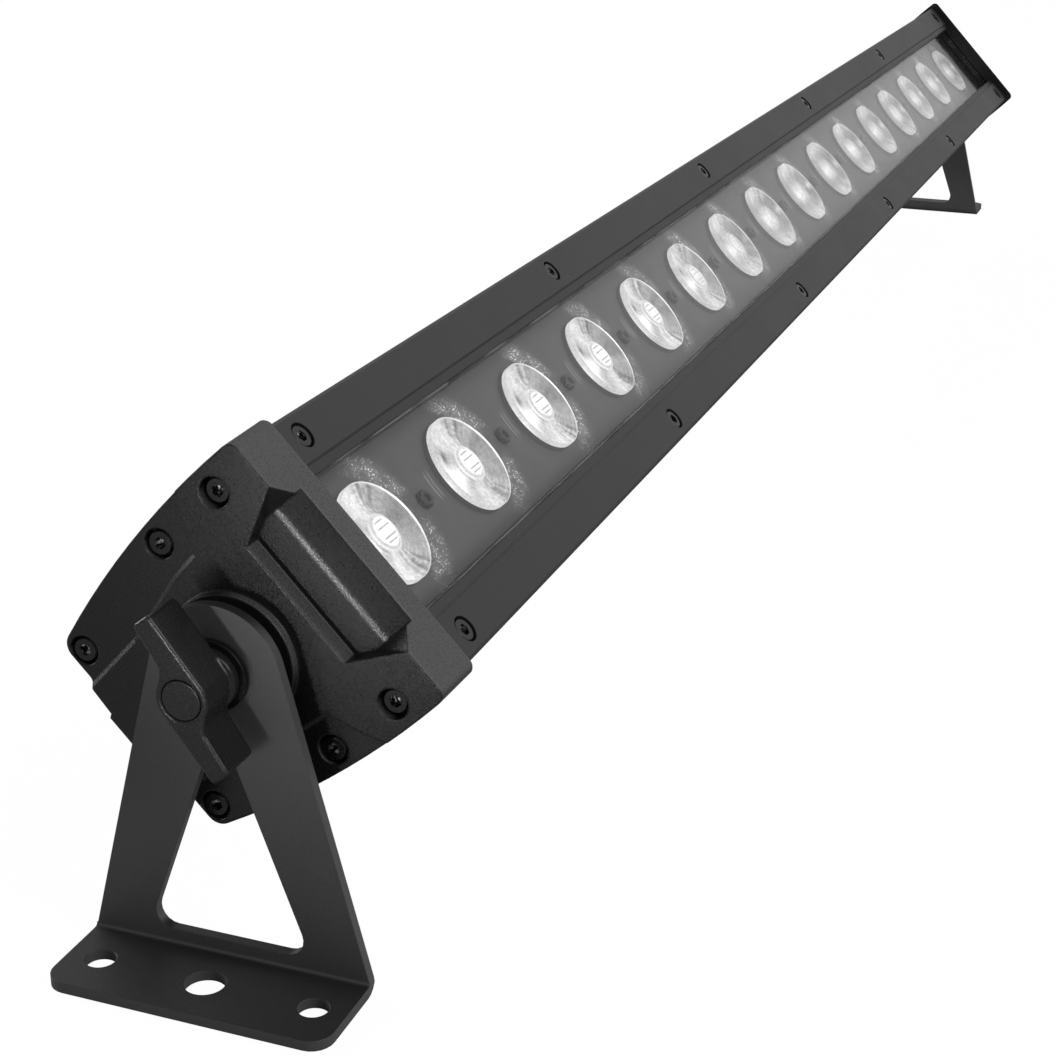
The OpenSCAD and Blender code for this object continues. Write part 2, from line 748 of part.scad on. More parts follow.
module driver_parts() {
    top = driver_z + board_t;
    color([0.2, 0.2, 0.22]) in_bar() {
        for (share = coil_shares) translate([driver_x[0] + share * driver_len, 0, top])
            box([-coil_len / 2, -coil_len / 2, 0], [coil_len / 2, coil_len / 2, part_rise]);
        for (i = [0:3]) let (share = can_first_share + can_step_share * i)
            translate([driver_x[0] + share * driver_len, (i % 2 - 0.5) * can_r * 3, top])
                cylinder(h = can_h, r = can_r);
    }
}

module control_board() {
    color([0.1, 0.35, 0.2]) in_bar() {
        box([control_x[0], -driver_half, driver_z], [control_x[1], driver_half, driver_z + board_t]);
        for (share = chip_shares)
            translate([control_x[0] + share * control_len, 0, driver_z + board_t - chip_t / 4])
                box([-board_rim, -board_rim, 0], [board_rim, board_rim, chip_t]);
    }
}

module board_standoffs() {
    color("silver") in_bar() for (span = [driver_x, control_x])
        for (x = [span[0] + board_rim, span[1] - board_rim]) for (s = [-1, 1])
            translate([x, s * (driver_half - board_rim / 2), chamber_z])
                cylinder(h = standoff_h, r = post_r);
}

// Cable glands and vent on the back

gland_flange = 3;
gland_flange_rim = 2.6;
gland_neck = 5;
gland_nut = 6.6;
gland_nut_rim = 2;
gland_dome = 4.4;
gland_dome_in = 2.4;
vent_flange_r = 7.2;
vent_dome_in = 1;

module cable_gland(x) {
    nut_z = gland_flange + gland_neck;
    translate([x, 0, back_z]) mirror([0, 0, 1]) difference() {
        union() {
            translate([0, 0, -wall]) cylinder(h = wall + over, r = gland_thread_r);
            cylinder(h = gland_flange, r = gland_r + gland_flange_rim, $fn = 6);
            cylinder(h = nut_z, r = gland_r);
            translate([0, 0, nut_z]) cylinder(h = gland_nut, r = gland_r + gland_nut_rim, $fn = 6);
            translate([0, 0, nut_z + gland_nut])
                cylinder(h = gland_dome, r1 = gland_r, r2 = gland_r - gland_dome_in);
        }
        translate([0, 0, -wall - over])
            cylinder(h = wall + nut_z + gland_nut + gland_dome + 2 * over, r = entry_r);
    }
}

module cable_gland_near() {
    color([0.07, 0.07, 0.07]) in_bar() cable_gland(-gland_x);
}

module cable_gland_far() {
    color([0.07, 0.07, 0.07]) in_bar() cable_gland(gland_x);
}

module vent_plug() {
    color([0.07, 0.07, 0.07]) in_bar() translate([0, 0, back_z]) mirror([0, 0, 1]) {
        translate([0, 0, -wall]) cylinder(h = wall + over, r = vent_thread_r);
        cylinder(h = gland_flange, r = vent_flange_r, $fn = 6);
        translate([0, 0, gland_flange])
            cylinder(h = gland_flange / 2, r1 = vent_r, r2 = vent_r - vent_dome_in);
    }
}

// Brackets, drawn for the near end: the foot points towards negative X

// Direction from the pivot to the place where a leg's edge touches the round top
leg_lean = asin(top_r / norm([foot_half, pivot_h - plate_t]));
leg_angle = atan(foot_half / (pivot_h - plate_t)) - leg_lean;
top_steps = 30;
bend_steps = 4;
sole_r = bend_r + plate_t;
foot_corner_r = 6;
window_r = 5;
window_top_r = 4;

module bracket() {
    x = -plate_out;
    difference() {
        intersection() {
            // The folded strip seen along Y
            translate([0, foot_half + over, 0]) rotate([90, 0, 0]) linear_extrude(2 * (foot_half + over))
                polygon(concat(
                    [[x + plate_t, pivot_h + top_r], [x, pivot_h + top_r]],
                    [for (i = [0:bend_steps]) let (a = -90 * i / bend_steps)
                        [x - bend_r + bend_r * cos(a), plate_t + bend_r + bend_r * sin(a)]],
                    [[x - foot_len, plate_t], [x - foot_len, 0]],
                    [for (i = [0:bend_steps]) let (a = -90 + 90 * i / bend_steps)
                        [x - bend_r + sole_r * cos(a), sole_r + sole_r * sin(a)]]));
            union() {
                // The leg seen along X
                along_x(x - bend_r * 2, x + plate_t + over) polygon(concat(
                    [[-foot_half, plate_t], [-foot_half, -over], [foot_half, -over], [foot_half, plate_t]],
                    [for (i = [0:top_steps]) let (a = leg_angle + (180 - 2 * leg_angle) * i / top_steps)
                        [top_r * cos(a), pivot_h + top_r * sin(a)]]));
                // The foot seen from above
                translate([0, 0, -over]) linear_extrude(plate_t + bend_r + over) polygon(rounded([
                    [x, -foot_half, 0], [x, foot_half, 0],
                    [x - foot_len, foot_half, foot_corner_r], [x - foot_len, -foot_half, foot_corner_r]]));
            }
        }
        // The three-cornered window
        along_x(x - over, x + plate_t + over) polygon(rounded([
            [-sill_half, window_sill, window_r], [sill_half, window_sill, window_r],
            [0, window_apex, window_top_r]]));
        translate([0, 0, pivot_h]) rod_x(x - over, x + plate_t + over, stud_r + joint_gap);
        translate([x - foot_hole_x, 0, -over]) {
            cylinder(h = plate_t + 2 * over, r = foot_hole_r);
            for (s = [-1, 1]) translate([0, s * foot_hole_y, 0])
                cylinder(h = plate_t + 2 * over, r = foot_small_r);
        }
    }
}

module bracket_near() {
    color([0.13, 0.13, 0.14]) on_row() bracket();
}

module bracket_far() {
    color([0.13, 0.13, 0.14]) on_row() at_far() bracket();
}

module friction_disc() {
    translate([0, 0, pivot_h]) difference() {
        rod_x(-plate_in, -plate_in + disc_t, disc_r);
        rod_x(-plate_in - over, -plate_in + disc_t + over, stud_r + joint_gap);
    }
}

module friction_disc_near() {
    color([0.05, 0.05, 0.05]) on_row() friction_disc();
}

module friction_disc_far() {
    color([0.05, 0.05, 0.05]) on_row() at_far() friction_disc();
}

// Knobs, drawn for the near end

washer_x = plate_out + joint_gap;
knob_x = washer_x + knob_washer_t;
knob_face = knob_x + knob_h;
stud_in = 4;
disc_sink = 1.2;
disc_seat = 0.2;
stud_tip = 1;
hub_step = 1;
wing_edge_r = 1;
root_reach = 2;
root_rise_share = 0.015;
root_turn = 50;

module knob_washer() {
    translate([0, 0, pivot_h]) difference() {
        rod_x(-knob_x, -washer_x, knob_washer_r);
        rod_x(-knob_x - over, -washer_x + over, stud_r + thread_gap);
    }
}

module knob_washer_near() {
    color("silver") on_row() knob_washer();
}

module knob_washer_far() {
    color("silver") on_row() at_far() knob_washer();
}

// One wing of the knob: straight on its outer side, hollowed where it leaves the middle
module wing() {
    polygon(rounded([
        [0, 0, 0], [0, knob_mid_r, 0], [wing_len, knob_mid_r, wing_edge_r],
        [wing_len, tip_inner, wing_edge_r],
        [knob_mid_r + root_reach, root_rise_share * wing_len, knob_mid_r / 2],
        [knob_mid_r * cos(root_turn), -knob_mid_r * sin(root_turn), 0]]));
}

module wing_knob() {
    translate([0, 0, pivot_h]) difference() {
        union() {
            rotate([wing_turn, 0, 0]) translate([-knob_face, 0, 0])
                rotate([90, 0, 90]) linear_extrude(wing_h) {
                circle(knob_mid_r);
                for (turn = [0, 180]) rotate(turn) wing();
            }
            rod_x(-knob_face + wing_h - over, -knob_x, knob_mid_r + hub_step);
        }
        rod_x(-knob_face - over, -knob_face + disc_sink, knob_disc_r + disc_seat);
        rod_x(-knob_face + stud_in, -knob_x + over, stud_r + thread_gap);
    }
}

module wing_knob_near() {
    color([0.14, 0.14, 0.15]) on_row() wing_knob();
}

module wing_knob_far() {
    color([0.14, 0.14, 0.15]) on_row() at_far() wing_knob();
}

module knob_stud() {
    translate([0, 0, pivot_h]) rod_x(-knob_face + stud_in, -boss_x + bush_len - stud_tip, stud_r);
}

module knob_stud_near() {
    color("silver") on_row() knob_stud();
}

module knob_stud_far() {
    color("silver") on_row() at_far() knob_stud();
}

module knob_disc() {
    translate([0, 0, pivot_h]) rod_x(-knob_face + disc_seat / 2, -knob_face + disc_sink, knob_disc_r);
}

module knob_disc_near() {
    color([0.13, 0.13, 0.14]) on_row() knob_disc();
}

module knob_disc_far() {
    color([0.13, 0.13, 0.14]) on_row() at_far() knob_disc();
}

housing();
led_boards();
led_emitters();
lenses();
lens_holders();
mask_plate();
mask_posts();
mask_screws();
glass_gasket();
front_glass();
bezel_upper();
bezel_lower();
bezel_screws();
end_cap_near();
end_cap_far();
cap_gasket_near();
cap_gasket_far();
cap_screws_near();
cap_screws_far();
pivot_bush_near();
pivot_bush_far();
driver_board();
driver_parts();
control_board();
board_standoffs();
cable_gland_near();
cable_gland_far();
vent_plug();
bracket_near();
bracket_far();
friction_disc_near();
friction_disc_far();
knob_washer_near();
knob_washer_far();
wing_knob_near();
wing_knob_far();
knob_stud_near();
knob_stud_far();
knob_disc_near();
knob_disc_far();
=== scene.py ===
# %% [markdown]
# # A bar of light between two brackets
#
# This file dresses a wall washer: a black aluminium bar about a metre long, with a row of
# round lenses under a strip of glass, held by two folded steel brackets and two wing knobs.
# The pieces come in already built and in place. What is left is what the eye meets: powder
# coat, glass, lenses with light in them, and the soft edges that casting, stamping and
# spraying leave behind. Each cell below makes one of these and says why it is made that way.

# %% Load the built pieces
import json
import math

import bmesh
import bpy
import numpy as np
from mathutils import Matrix, Vector


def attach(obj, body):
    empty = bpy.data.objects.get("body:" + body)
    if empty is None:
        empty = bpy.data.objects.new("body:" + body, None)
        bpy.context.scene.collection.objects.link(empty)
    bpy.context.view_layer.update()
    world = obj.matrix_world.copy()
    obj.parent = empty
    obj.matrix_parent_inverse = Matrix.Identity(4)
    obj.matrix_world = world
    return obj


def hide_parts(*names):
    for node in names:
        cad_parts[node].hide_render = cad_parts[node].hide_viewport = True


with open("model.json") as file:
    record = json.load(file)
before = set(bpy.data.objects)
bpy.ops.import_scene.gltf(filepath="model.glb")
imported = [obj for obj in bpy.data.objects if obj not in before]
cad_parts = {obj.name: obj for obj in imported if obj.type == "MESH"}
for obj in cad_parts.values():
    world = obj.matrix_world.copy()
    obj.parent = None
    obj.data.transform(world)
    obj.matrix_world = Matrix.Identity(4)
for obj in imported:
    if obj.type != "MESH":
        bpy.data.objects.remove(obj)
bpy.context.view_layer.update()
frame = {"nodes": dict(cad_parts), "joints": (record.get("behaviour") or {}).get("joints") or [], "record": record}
nodes = frame["nodes"]
MM = 0.001

# %% [markdown]
# ## Where things are
#
# The bar is tilted about the line through both knobs, so its pieces are easiest to describe in
# the bar's own directions: along it, across it towards the upper bezel, and out through the
# glass. The pivot comes from the joint, and the tilt from the glass itself, whose thin
# direction is the one in which its corners differ least.

# %% The bar's own directions
joint_places = {joint["name"]: joint["pos_m"] for joint in frame["joints"]}
PIVOT = np.array(joint_places["near_bracket_tilt"], float)
ALONG = np.array([1.0, 0.0, 0.0])


def mesh_points(node):
    """All corners of a built piece as rows of x, y and z in metres."""
    points = np.empty(len(node.data.vertices) * 3, np.float32)
    node.data.vertices.foreach_get("co", points)
    return points.reshape(-1, 3).astype(float)


def thin_direction(node):
    """The unit direction in which a flat piece is thinnest, turned to point upwards."""
    points = mesh_points(node)
    spread = np.linalg.svd(points - points.mean(0), full_matrices=False)[2][-1]
    return spread * np.sign(spread[2])


OUT = thin_direction(nodes["front_glass"])
OUT = np.array([0.0, OUT[1], OUT[2]]) / math.hypot(OUT[1], OUT[2])
ACROSS = np.cross(OUT, ALONG)
print("tilt of the bar in degrees:", round(math.degrees(math.acos(OUT[2])), 2))


def on_bar(x, across, out):
    """Points from x in metres along the row, and distances in metres across and out of the bar."""
    x, across, out = np.broadcast_arrays(x, across, out)
    base = np.array([0.0, PIVOT[1], PIVOT[2]])
    return x[..., None] * ALONG + across[..., None] * ACROSS + out[..., None] * OUT + base


def in_bar(name):
    """The reverse of on_bar for a built piece: its lowest and highest x, across and out."""
    rest = mesh_points(nodes[name]) - np.array([0.0, PIVOT[1], PIVOT[2]])
    places = np.stack([rest @ ALONG, rest @ ACROSS, rest @ OUT], axis=-1)
    return places.min(0), places.max(0)


glass_low, glass_high = in_bar("front_glass")
lens_low, lens_high = in_bar("lenses")
print("glass from", glass_low.round(4), "to", glass_high.round(4))

# %% [markdown]
# ## Sums on sockets
#
# A material is easier to read as a sum than as a web of nodes. The class below wraps one
# socket, and each sign adds the Math node that does that sum. The reflected forms let a plain
# number stand on the left, as in 1 - mask.


# %% A socket that can be added and multiplied
class Sum:
    """One number socket. a + b, 1 - a, a * b, a / b and a ** b each add a Math node."""

    def __init__(self, tree, socket):
        self.tree = tree
        self.socket = socket

    def math(self, operation, *values):
        node = self.tree.nodes.new("ShaderNodeMath")
        node.operation = operation
        for place, value in zip(node.inputs, values):
            if isinstance(value, Sum):
                self.tree.links.new(value.socket, place)
            else:
                place.default_value = value
        return Sum(self.tree, node.outputs[0])

    def __add__(self, other):
        return self.math("ADD", self, other)

    def __sub__(self, other):
        return self.math("SUBTRACT", self, other)

    def __rsub__(self, other):
        return self.math("SUBTRACT", other, self)

    def __mul__(self, other):
        return self.math("MULTIPLY", self, other)

    def __truediv__(self, other):
        return self.math("DIVIDE", self, other)

    def __pow__(self, other):
        return self.math("POWER", self, other)

    __radd__ = __add__
    __rmul__ = __mul__

    def step(self, low, high):
        """0 below low, 1 above high and a soft S between them; low above high turns it over."""
        node = self.tree.nodes.new("ShaderNodeMapRange")
        node.interpolation_type = "SMOOTHSTEP"
        self.tree.links.new(self.socket, node.inputs["Value"])
        edges = (low, high, 0.0, 1.0) if low < high else (high, low, 1.0, 0.0)
        for name, value in zip(("From Min", "From Max", "To Min", "To Max"), edges):
            node.inputs[name].default_value = value
        return Sum(self.tree, node.outputs["Result"])

    def band(self, middle, half, soft):
        """1 within half of middle and 0 further away than that plus soft."""
        return self.math("ABSOLUTE", self - middle).step(half + soft, half)


# %% [markdown]
# ## One way to make any other node
#
# A web holds a node tree. Its add method takes a node's type, its settings and the values or
# links of its sockets, and hands back the outlet asked for. Settings go first, because some of
# them change which sockets a node has. A finish is a web with a material round it.


# %% Webs of nodes, and materials
class Web:
    """A node tree and one way to add nodes to it."""

    def __init__(self, tree):
        self.tree = tree

    def put(self, place, value):
        """Gives a socket a link, a number or a colour."""
        if isinstance(value, Sum):
            value = value.socket
        if isinstance(value, bpy.types.NodeSocket):
            self.tree.links.new(value, place)
        elif isinstance(value, (tuple, list)) and len(value) == 3 and len(place.default_value) == 4:
            place.default_value = (*value, 1.0)
        else:
            place.default_value = value

    def add(self, kind, settings=None, out=0, **inputs):
        """A new node of that kind; inputs named with _ for spaces, or i0, i1 for a place."""
        node = self.tree.nodes.new("ShaderNode" + kind)
        for name, value in (settings or {}).items():
            setattr(node, name, value)
        for name, value in inputs.items():
            key = int(name[1:]) if name[0] == "i" and name[1:].isdigit() else name.replace("_", " ")
            self.put(node.inputs[key], value)
        return node.outputs[out]

    def number(self, socket):
        return Sum(self.tree, socket)

    def dot(self, vector, direction):
        """How far a vector socket reaches along a fixed direction."""
        return self.number(self.add("VectorMath", {"operation": "DOT_PRODUCT"}, out="Value",
                                    i0=vector, i1=tuple(float(v) for v in direction)))

    def camera_ray(self):
        """1 for what the camera sees straight on, 0 for light that bounces."""
        return self.number(self.add("LightPath", out="Is Camera Ray"))


class Finish(Web):
    """A material: plain socket values are given by name, and patterns are linked afterwards."""

    def __init__(self, name, **plain):
        self.material = bpy.data.materials.new(name)
        self.material.use_nodes = True
        super().__init__(self.material.node_tree)
        self.shader = self.tree.nodes["Principled BSDF"]
        self.outlet = self.tree.nodes["Material Output"]
        for socket, value in plain.items():
            self.set(socket.replace("_", " "), value)
        self.place = self.add("TexCoord", out="Object")

    def set(self, socket, value):
        """Gives a socket of the main shader a value or a link."""
        self.put(self.shader.inputs[socket], value)

    def noise(self, size, detail=2.0, rough=0.5):
        """Noise from 0 to 1 with lumps of about that size in metres."""
        return self.number(self.add("TexNoise", Vector=self.place, Scale=1 / size, Detail=detail,
                                    Roughness=rough))

    def written(self, key):
        """The number that the points of the mesh carry under that name."""
        return self.number(self.add("Attribute", {"attribute_name": key}, out="Fac"))

    def grey(self, shade):
        """A colour with the same number in all three channels."""
        return self.add("CombineColor", i0=shade, i1=shade, i2=shade)

    def tint(self, shade):
        """Makes the base colour a grey of that linear shade."""
        self.set("Base Color", self.grey(shade))

    def shine(self, shade):
        """Makes the surface give off that much white light."""
        self.set("Emission Color", self.grey(shade))
        self.set("Emission Strength", 1.0)

    def rounded(self, radius):
        """A normal that bends at edges as if they were round with that radius."""
        return self.add("Bevel", {"samples": 6}, Radius=radius)

    def bump(self, height, distance, strength=1.0, edge=0.0):
        """Feeds a height from 0 to 1, worth that distance, to the normal; edge rounds corners."""
        inputs = {"Height": height, "Distance": distance, "Strength": strength}
        if edge:
            inputs["Normal"] = self.rounded(edge)
        self.set("Normal", self.add("Bump", **inputs))

    def wear(self, *pieces):
        """Puts this material on pieces in place of what they have."""
        for piece in pieces:
            piece.data.materials.clear()
            piece.data.materials.append(self.material)


# %% [markdown]
# ## Copies that stand for built pieces
#
# The built solids have perfectly sharp edges. Real castings, extrusions and bent plates never
# do, and it is the thin line of light along each edge that tells the eye so. The built meshes
# stay as they are, so each piece whose edges matter gets a copy that stands for it. A copy
# starts from the built triangles, welded into one skin, and ends with weighted normals, which
# keep broad faces flat to the eye beside narrow round ones.

# %% Helpers for copies
WELD = 0.03 * MM


def body_of(name):
    """The name of the moving body that a built piece belongs to."""
    bodies = frame["record"]["behaviour"]["bodies"]
    return next(body for body, members in bodies.items() if name in members)


def adopt(piece, name):
    """Lets a new piece stand for a built one: it rides the same body, and the built one is hidden."""
    bpy.context.scene.collection.objects.link(piece)
    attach(piece, body_of(name))
    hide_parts(name)
    return piece


def welded(name):
    """The mesh of a built piece for editing, with corners closer than WELD made one."""
    solid = bmesh.new()
    solid.from_mesh(nodes[name].data)
    bmesh.ops.remove_doubles(solid, verts=solid.verts, dist=WELD)
    return solid


def stand_in(solid, name, ending):
    """Makes the edited mesh a piece of its own that stands for the built one."""
    mesh = bpy.data.meshes.new(name + ending)
    solid.to_mesh(mesh)
    solid.free()
    return adopt(bpy.data.objects.new(name + ending, mesh), name)


def weigh_normals(piece, keep_sharp):
    """Lets broad faces set the light on the narrow ones beside them, so that they look flat."""
    flat = piece.modifiers.new("flat_faces", "WEIGHTED_NORMAL")
    flat.keep_sharp = keep_sharp
    flat.weight = 60


# %% [markdown]
# ## Sharp copies and bevelled ones
#
# Edges could be rounded by hand, or by a Bevel modifier in one move. The modifier suits plain
# pieces, such as the washers and inserts of the knobs, once the triangles that lie in one plane
# are joined into one face. On a piece with many small faces round its holes it turns some faces
# over. So those copies stay sharp at their real edges and smooth everywhere else. Their coat
# gets a Bevel node, which bends the light at an edge as if it were round.

# %% Which edges count, and what they get
FLAT_TURN = 0.5
SLIGHT_TURN = 2.0
CREASE_TURN = 24.0
BROAD = 1.8 * MM
SAME_WAY = 0.85
ROOM_SHARE = 0.4
BEVEL_STEPS = 2


def room_beside(edge):
    """The shortest edge that starts at an end of this one and doesn't run on in its direction."""
    along = (edge.verts[1].co - edge.verts[0].co).normalized()
    shortest = 1.0
    for corner in edge.verts:
        for other in corner.link_edges:
            way = (other.verts[1].co - other.verts[0].co).normalized()
            if other is not edge and abs(way.dot(along)) < SAME_WAY:
                shortest = min(shortest, other.calc_length())
    return shortest


def soften(name, width=0.0):
    """A copy of a built piece with bevels of that many millimetres, or sharp if it is 0.

    An edge counts where its faces turn by CREASE_TURN degrees, or by SLIGHT_TURN degrees where
    both faces are broad. All other edges are smoothed. A bevel gets at most ROOM_SHARE of the
    room beside its edge.
    """
    solid = welded(name)
    bmesh.ops.dissolve_degenerate(solid, edges=solid.edges, dist=WELD)
    if width:
        bmesh.ops.dissolve_limit(solid, angle_limit=math.radians(FLAT_TURN), verts=solid.verts,
                                 edges=solid.edges)
    depth = {}
    for face in solid.faces:
        face.smooth = True
        depth[face] = face.calc_area() / max(edge.calc_length() for edge in face.edges)
    weight = solid.edges.layers.float.new("bevel_weight_edge")
    for edge in solid.edges:
        if len(edge.link_faces) == 2:
            turned = math.degrees(edge.calc_face_angle(0.0))
            both_broad = min(depth[face] for face in edge.link_faces) > BROAD
            if turned > CREASE_TURN or (both_broad and turned > SLIGHT_TURN):
                edge.smooth = width > 0
                if width:
                    edge[weight] = min(1.0, ROOM_SHARE * room_beside(edge) / (width * MM))
    piece = stand_in(solid, name, "_soft")
    if width:
        bevel = piece.modifiers.new("soft_edges", "BEVEL")
        bevel.limit_method = "WEIGHT"
        bevel.width = width * MM
        bevel.segments = BEVEL_STEPS
        bevel.use_clamp_overlap = False
        bevel.miter_outer = "MITER_ARC"
    weigh_normals(piece, keep_sharp=width == 0)
    return piece


# %% [markdown]
# ## Knobs that are round all over
#
# A wing knob is moulded: its wings run into the hub over soft inner corners, and no edge on it
# is sharp. A bevel can't give that, and a new surface worked out for it would have to follow
# the built one everywhere. So the copy is poured again: a new skin is taken from the small
# cells that the solid fills, and rubbed smooth, which rounds outer and inner corners alike.

# %% Recast copies
CELL = 0.35 * MM
RUBS = 6
KEPT_SHARE = 0.3


def recast(name):
    """A copy of a built piece in small cells of CELL, rubbed smooth RUBS times.

    A Remesh modifier takes the skin, a Smooth modifier rubs it, and a Decimate modifier keeps
    KEPT_SHARE of the triangles, most of them where the skin bends.
    """
    piece = stand_in(welded(name), name, "_cast")
    skin = piece.modifiers.new("new_skin", "REMESH")
    skin.mode = "VOXEL"
    skin.voxel_size = CELL
    skin.use_smooth_shade = True
    rub = piece.modifiers.new("rub_smooth", "SMOOTH")
    rub.factor = 0.5
    rub.iterations = RUBS
    thin = piece.modifiers.new("fewer_faces", "DECIMATE")
    thin.ratio = KEPT_SHARE
    weigh_normals(piece, keep_sharp=False)
    return piece


# %% [markdown]
# ## Which piece gets which copy
#
# The outer pieces whose edges are seen get a copy, and the others keep their built mesh. Pieces
# that come in pairs are made in one line, in lists that the finishes use later on.

# %% Every piece that gets a copy
ENDS = ("near", "far")
caps = [soften("end_cap_" + end) for end in ENDS]
bezels = [soften("bezel_" + side) for side in ("upper", "lower")]
housing = soften("housing")
brackets = [soften("bracket_" + end) for end in ENDS]
knobs = [recast("wing_knob_" + end) for end in ENDS]
knob_discs = [soften("knob_disc_" + end, 0.25) for end in ENDS]
washers = [soften("knob_washer_" + end, 0.2) for end in ENDS]
screw_facings = {"bezel_screws": OUT, "cap_screws_near": -ALONG, "cap_screws_far": ALONG}
screws = [soften(name) for name in screw_facings]
glands = [soften(name) for name in ("cable_gland_near", "cable_gland_far",
                                                   "vent_plug")]

# %% [markdown]
# ## Powder coat
#
# The housing, the bezels, the caps and the brackets are baked powder: a black skin with a fine
# orange peel that breaks up every reflection into grain. It could be an image wrapped round
# each piece, but noise in the object's own space has no seams and stays fine from near. Two
# sizes of noise do it. The small one is the grain itself and works on the normal, the roughness
# and a little on the colour. The large one is the slow unevenness of a sprayed coat. The
# moulded knobs get the same recipe with a finer grain.
#
# Faces of the caps that look to the front are made lighter, and faces of the brackets that look
# up are made darker. Both are painted light and shade, fitted so that the piece looks right
# under these lamps. They aren't a rule of how powder settles.

# %% Powder coat at several shades
GRAIN = 0.5 * MM
CLOUD = 26 * MM


def powder_coat(name, shade, spread=0.7, gloss=0.42, depth=0.07 * MM, edge=0.0, painted_light=0.0,
                facing=OUT):
    """Black powder coat of a linear shade; depth of its grain and radius of its edges in metres.

    Spread is how much the grain changes the shade, and gloss the middle roughness. Faces that
    look in the direction facing get painted light, lighter by lift times the shade, or painted
    shade, darker where lift is negative, and their grain changes by half of that.
    """
    coat = Finish(name, Specular_IOR_Level=0.5)
    grain = coat.noise(GRAIN, detail=3.0, rough=0.65)
    cloud = coat.noise(CLOUD)
    tone = (grain - 0.5) * spread + (cloud - 0.5) * 0.25 + 1.0
    # Painted light and shade: faces that look one way are made lighter or darker in colour.
    if painted_light:
        painted_light_faces = coat.dot(coat.add("TexCoord", out="Normal"), facing).step(0.55, 0.9)
        tone = tone * (1 + painted_light_faces * painted_light) + (grain - 0.5) * painted_light_faces * (painted_light / 2)
    coat.tint(tone * shade)
    coat.set("Roughness", (grain - 0.5) * 0.4 + (cloud - 0.5) * 0.1 + gloss)
    coat.bump(grain, depth, 0.8, edge)
    return coat


powder_coat("body_powder_coat", 0.022, edge=0.3 * MM).wear(housing)
powder_coat("bezel_powder_coat", 0.026, gloss=0.46, edge=0.3 * MM).wear(*bezels)
# The caps' front faces get painted light, and the brackets' upward faces get painted shade.
powder_coat("cap_powder_coat", 0.014, spread=0.9, gloss=0.30, depth=0.05 * MM, edge=0.95 * MM,
            painted_light=5.2).wear(*caps)
powder_coat("bracket_powder_coat", 0.086, spread=0.4, gloss=0.5, edge=0.4 * MM, painted_light=-0.8,
            facing=(0.0, 0.0, 1.0)).wear(*brackets)
powder_coat("knob_powder_coat", 0.017, spread=0.5, gloss=0.24, depth=0.04 * MM,
            edge=0.8 * MM).wear(*knobs, *knob_discs)
print("coats:", ", ".join(coat.name for coat in bpy.data.materials if "powder" in coat.name))

# %% [markdown]
# ## Screws with worn sockets
#
# The socket screws are black oxide: darker and smoother than the coat round them, so that they
# read as wet black rings. In the sockets, where a key has turned, the black is gone in patches
# and bare metal shows. The patches could be small meshes of their own. Noise in the coat is
# simpler, if it is kept inside the sockets, and an attribute on the screws' points does that.

# %% Where the key has worn the sockets
SOCKET_R = 2.4 * MM
SOCKET_TOP = 0.3 * MM


def wear_sockets(piece, facing):
    """Writes 1 on the points of a set of screws that lie inside a socket, as attribute "worn".

    A point is inside where it is nearer to its screw's axis than SOCKET_R and more than
    SOCKET_TOP below the top of the head. Facing is the direction in which the heads look.
    """
    solid = bmesh.new()
    solid.from_mesh(piece.data)
    worn = solid.verts.layers.float.new("worn")
    left = set(solid.verts)
    while left:
        screw = [left.pop()]
        for corner in screw:
            beside = {edge.other_vert(corner) for edge in corner.link_edges} & left
            left -= beside
            screw.extend(beside)
        places = np.array([corner.co for corner in screw])
        height = places @ facing
        flat = places - height[:, None] * facing
        apart = np.linalg.norm(flat - (flat.min(0) + flat.max(0)) / 2, axis=1)
        deep = height < height.max() - SOCKET_TOP
        for corner, inside in zip(screw, (apart < SOCKET_R) & deep):
            corner[worn] = float(inside)
    solid.to_mesh(piece.data)
    solid.free()


for piece, facing in zip(screws, screw_facings.values()):
    wear_sockets(piece, facing)
print("worn sockets on", ", ".join(piece.name for piece in screws))

# %% Black oxide
screw_black = Finish("black_oxide", Specular_IOR_Level=0.6)
scratch = screw_black.noise(0.6 * MM, detail=4.0)
bare = screw_black.written("worn") * screw_black.noise(1.2 * MM, detail=1.0).step(0.54, 0.60)
screw_black.tint(scratch * 0.010 + 0.001 + bare * 0.85)
screw_black.set("Metallic", bare)
screw_black.set("Roughness", scratch * 0.30 + 0.08)
screw_black.set("Normal", screw_black.rounded(0.15 * MM))
screw_black.wear(*screws)
print("the screws wear", screw_black.material.name)

# %% [markdown]
# ## Rubber, turned metal and plain plastic
#
# These pieces show as thin lines, or only through the glass, or at the back. The screws in the
# mask are dark with small glints painted into their colour, the gaskets are dull rubber, the
# washers and studs are turned steel under black, the posts and bushes are brass, and the glands
# are moulded plastic. Each gets one noise, for its colour or its skin, and no more, because
# nothing finer would be seen.

# %% Small finishes
mask_screw_coat = Finish("mask_screw_coat", Metallic=0.0)
# Painted glints: light patches in the screws' colour.
painted_glint = mask_screw_coat.noise(0.8 * MM, detail=4.0, rough=0.8)
mask_screw_coat.tint(painted_glint.step(0.54, 0.74) * 0.30 + 0.004)
mask_screw_coat.set("Roughness", painted_glint * 0.4 + 0.3)
mask_screw_coat.wear(nodes["mask_screws"])

rubber = Finish("rubber", Roughness=0.7)
rubber_grain = rubber.noise(0.8 * MM)
rubber.tint(rubber_grain * 0.008 + 0.006)
rubber.bump(rubber_grain, 0.05 * MM)
rubber.wear(*[nodes[n] for n in ("glass_gasket", "cap_gasket_near", "cap_gasket_far",
                                 "friction_disc_near", "friction_disc_far")])

steel = Finish("blackened_steel", Metallic=0.8)
turning = steel.noise(0.5 * MM, detail=3.0)
steel.tint(turning * 0.03 + 0.02)
steel.set("Roughness", turning * 0.25 + 0.25)
steel.wear(*washers, nodes["knob_stud_near"], nodes["knob_stud_far"])

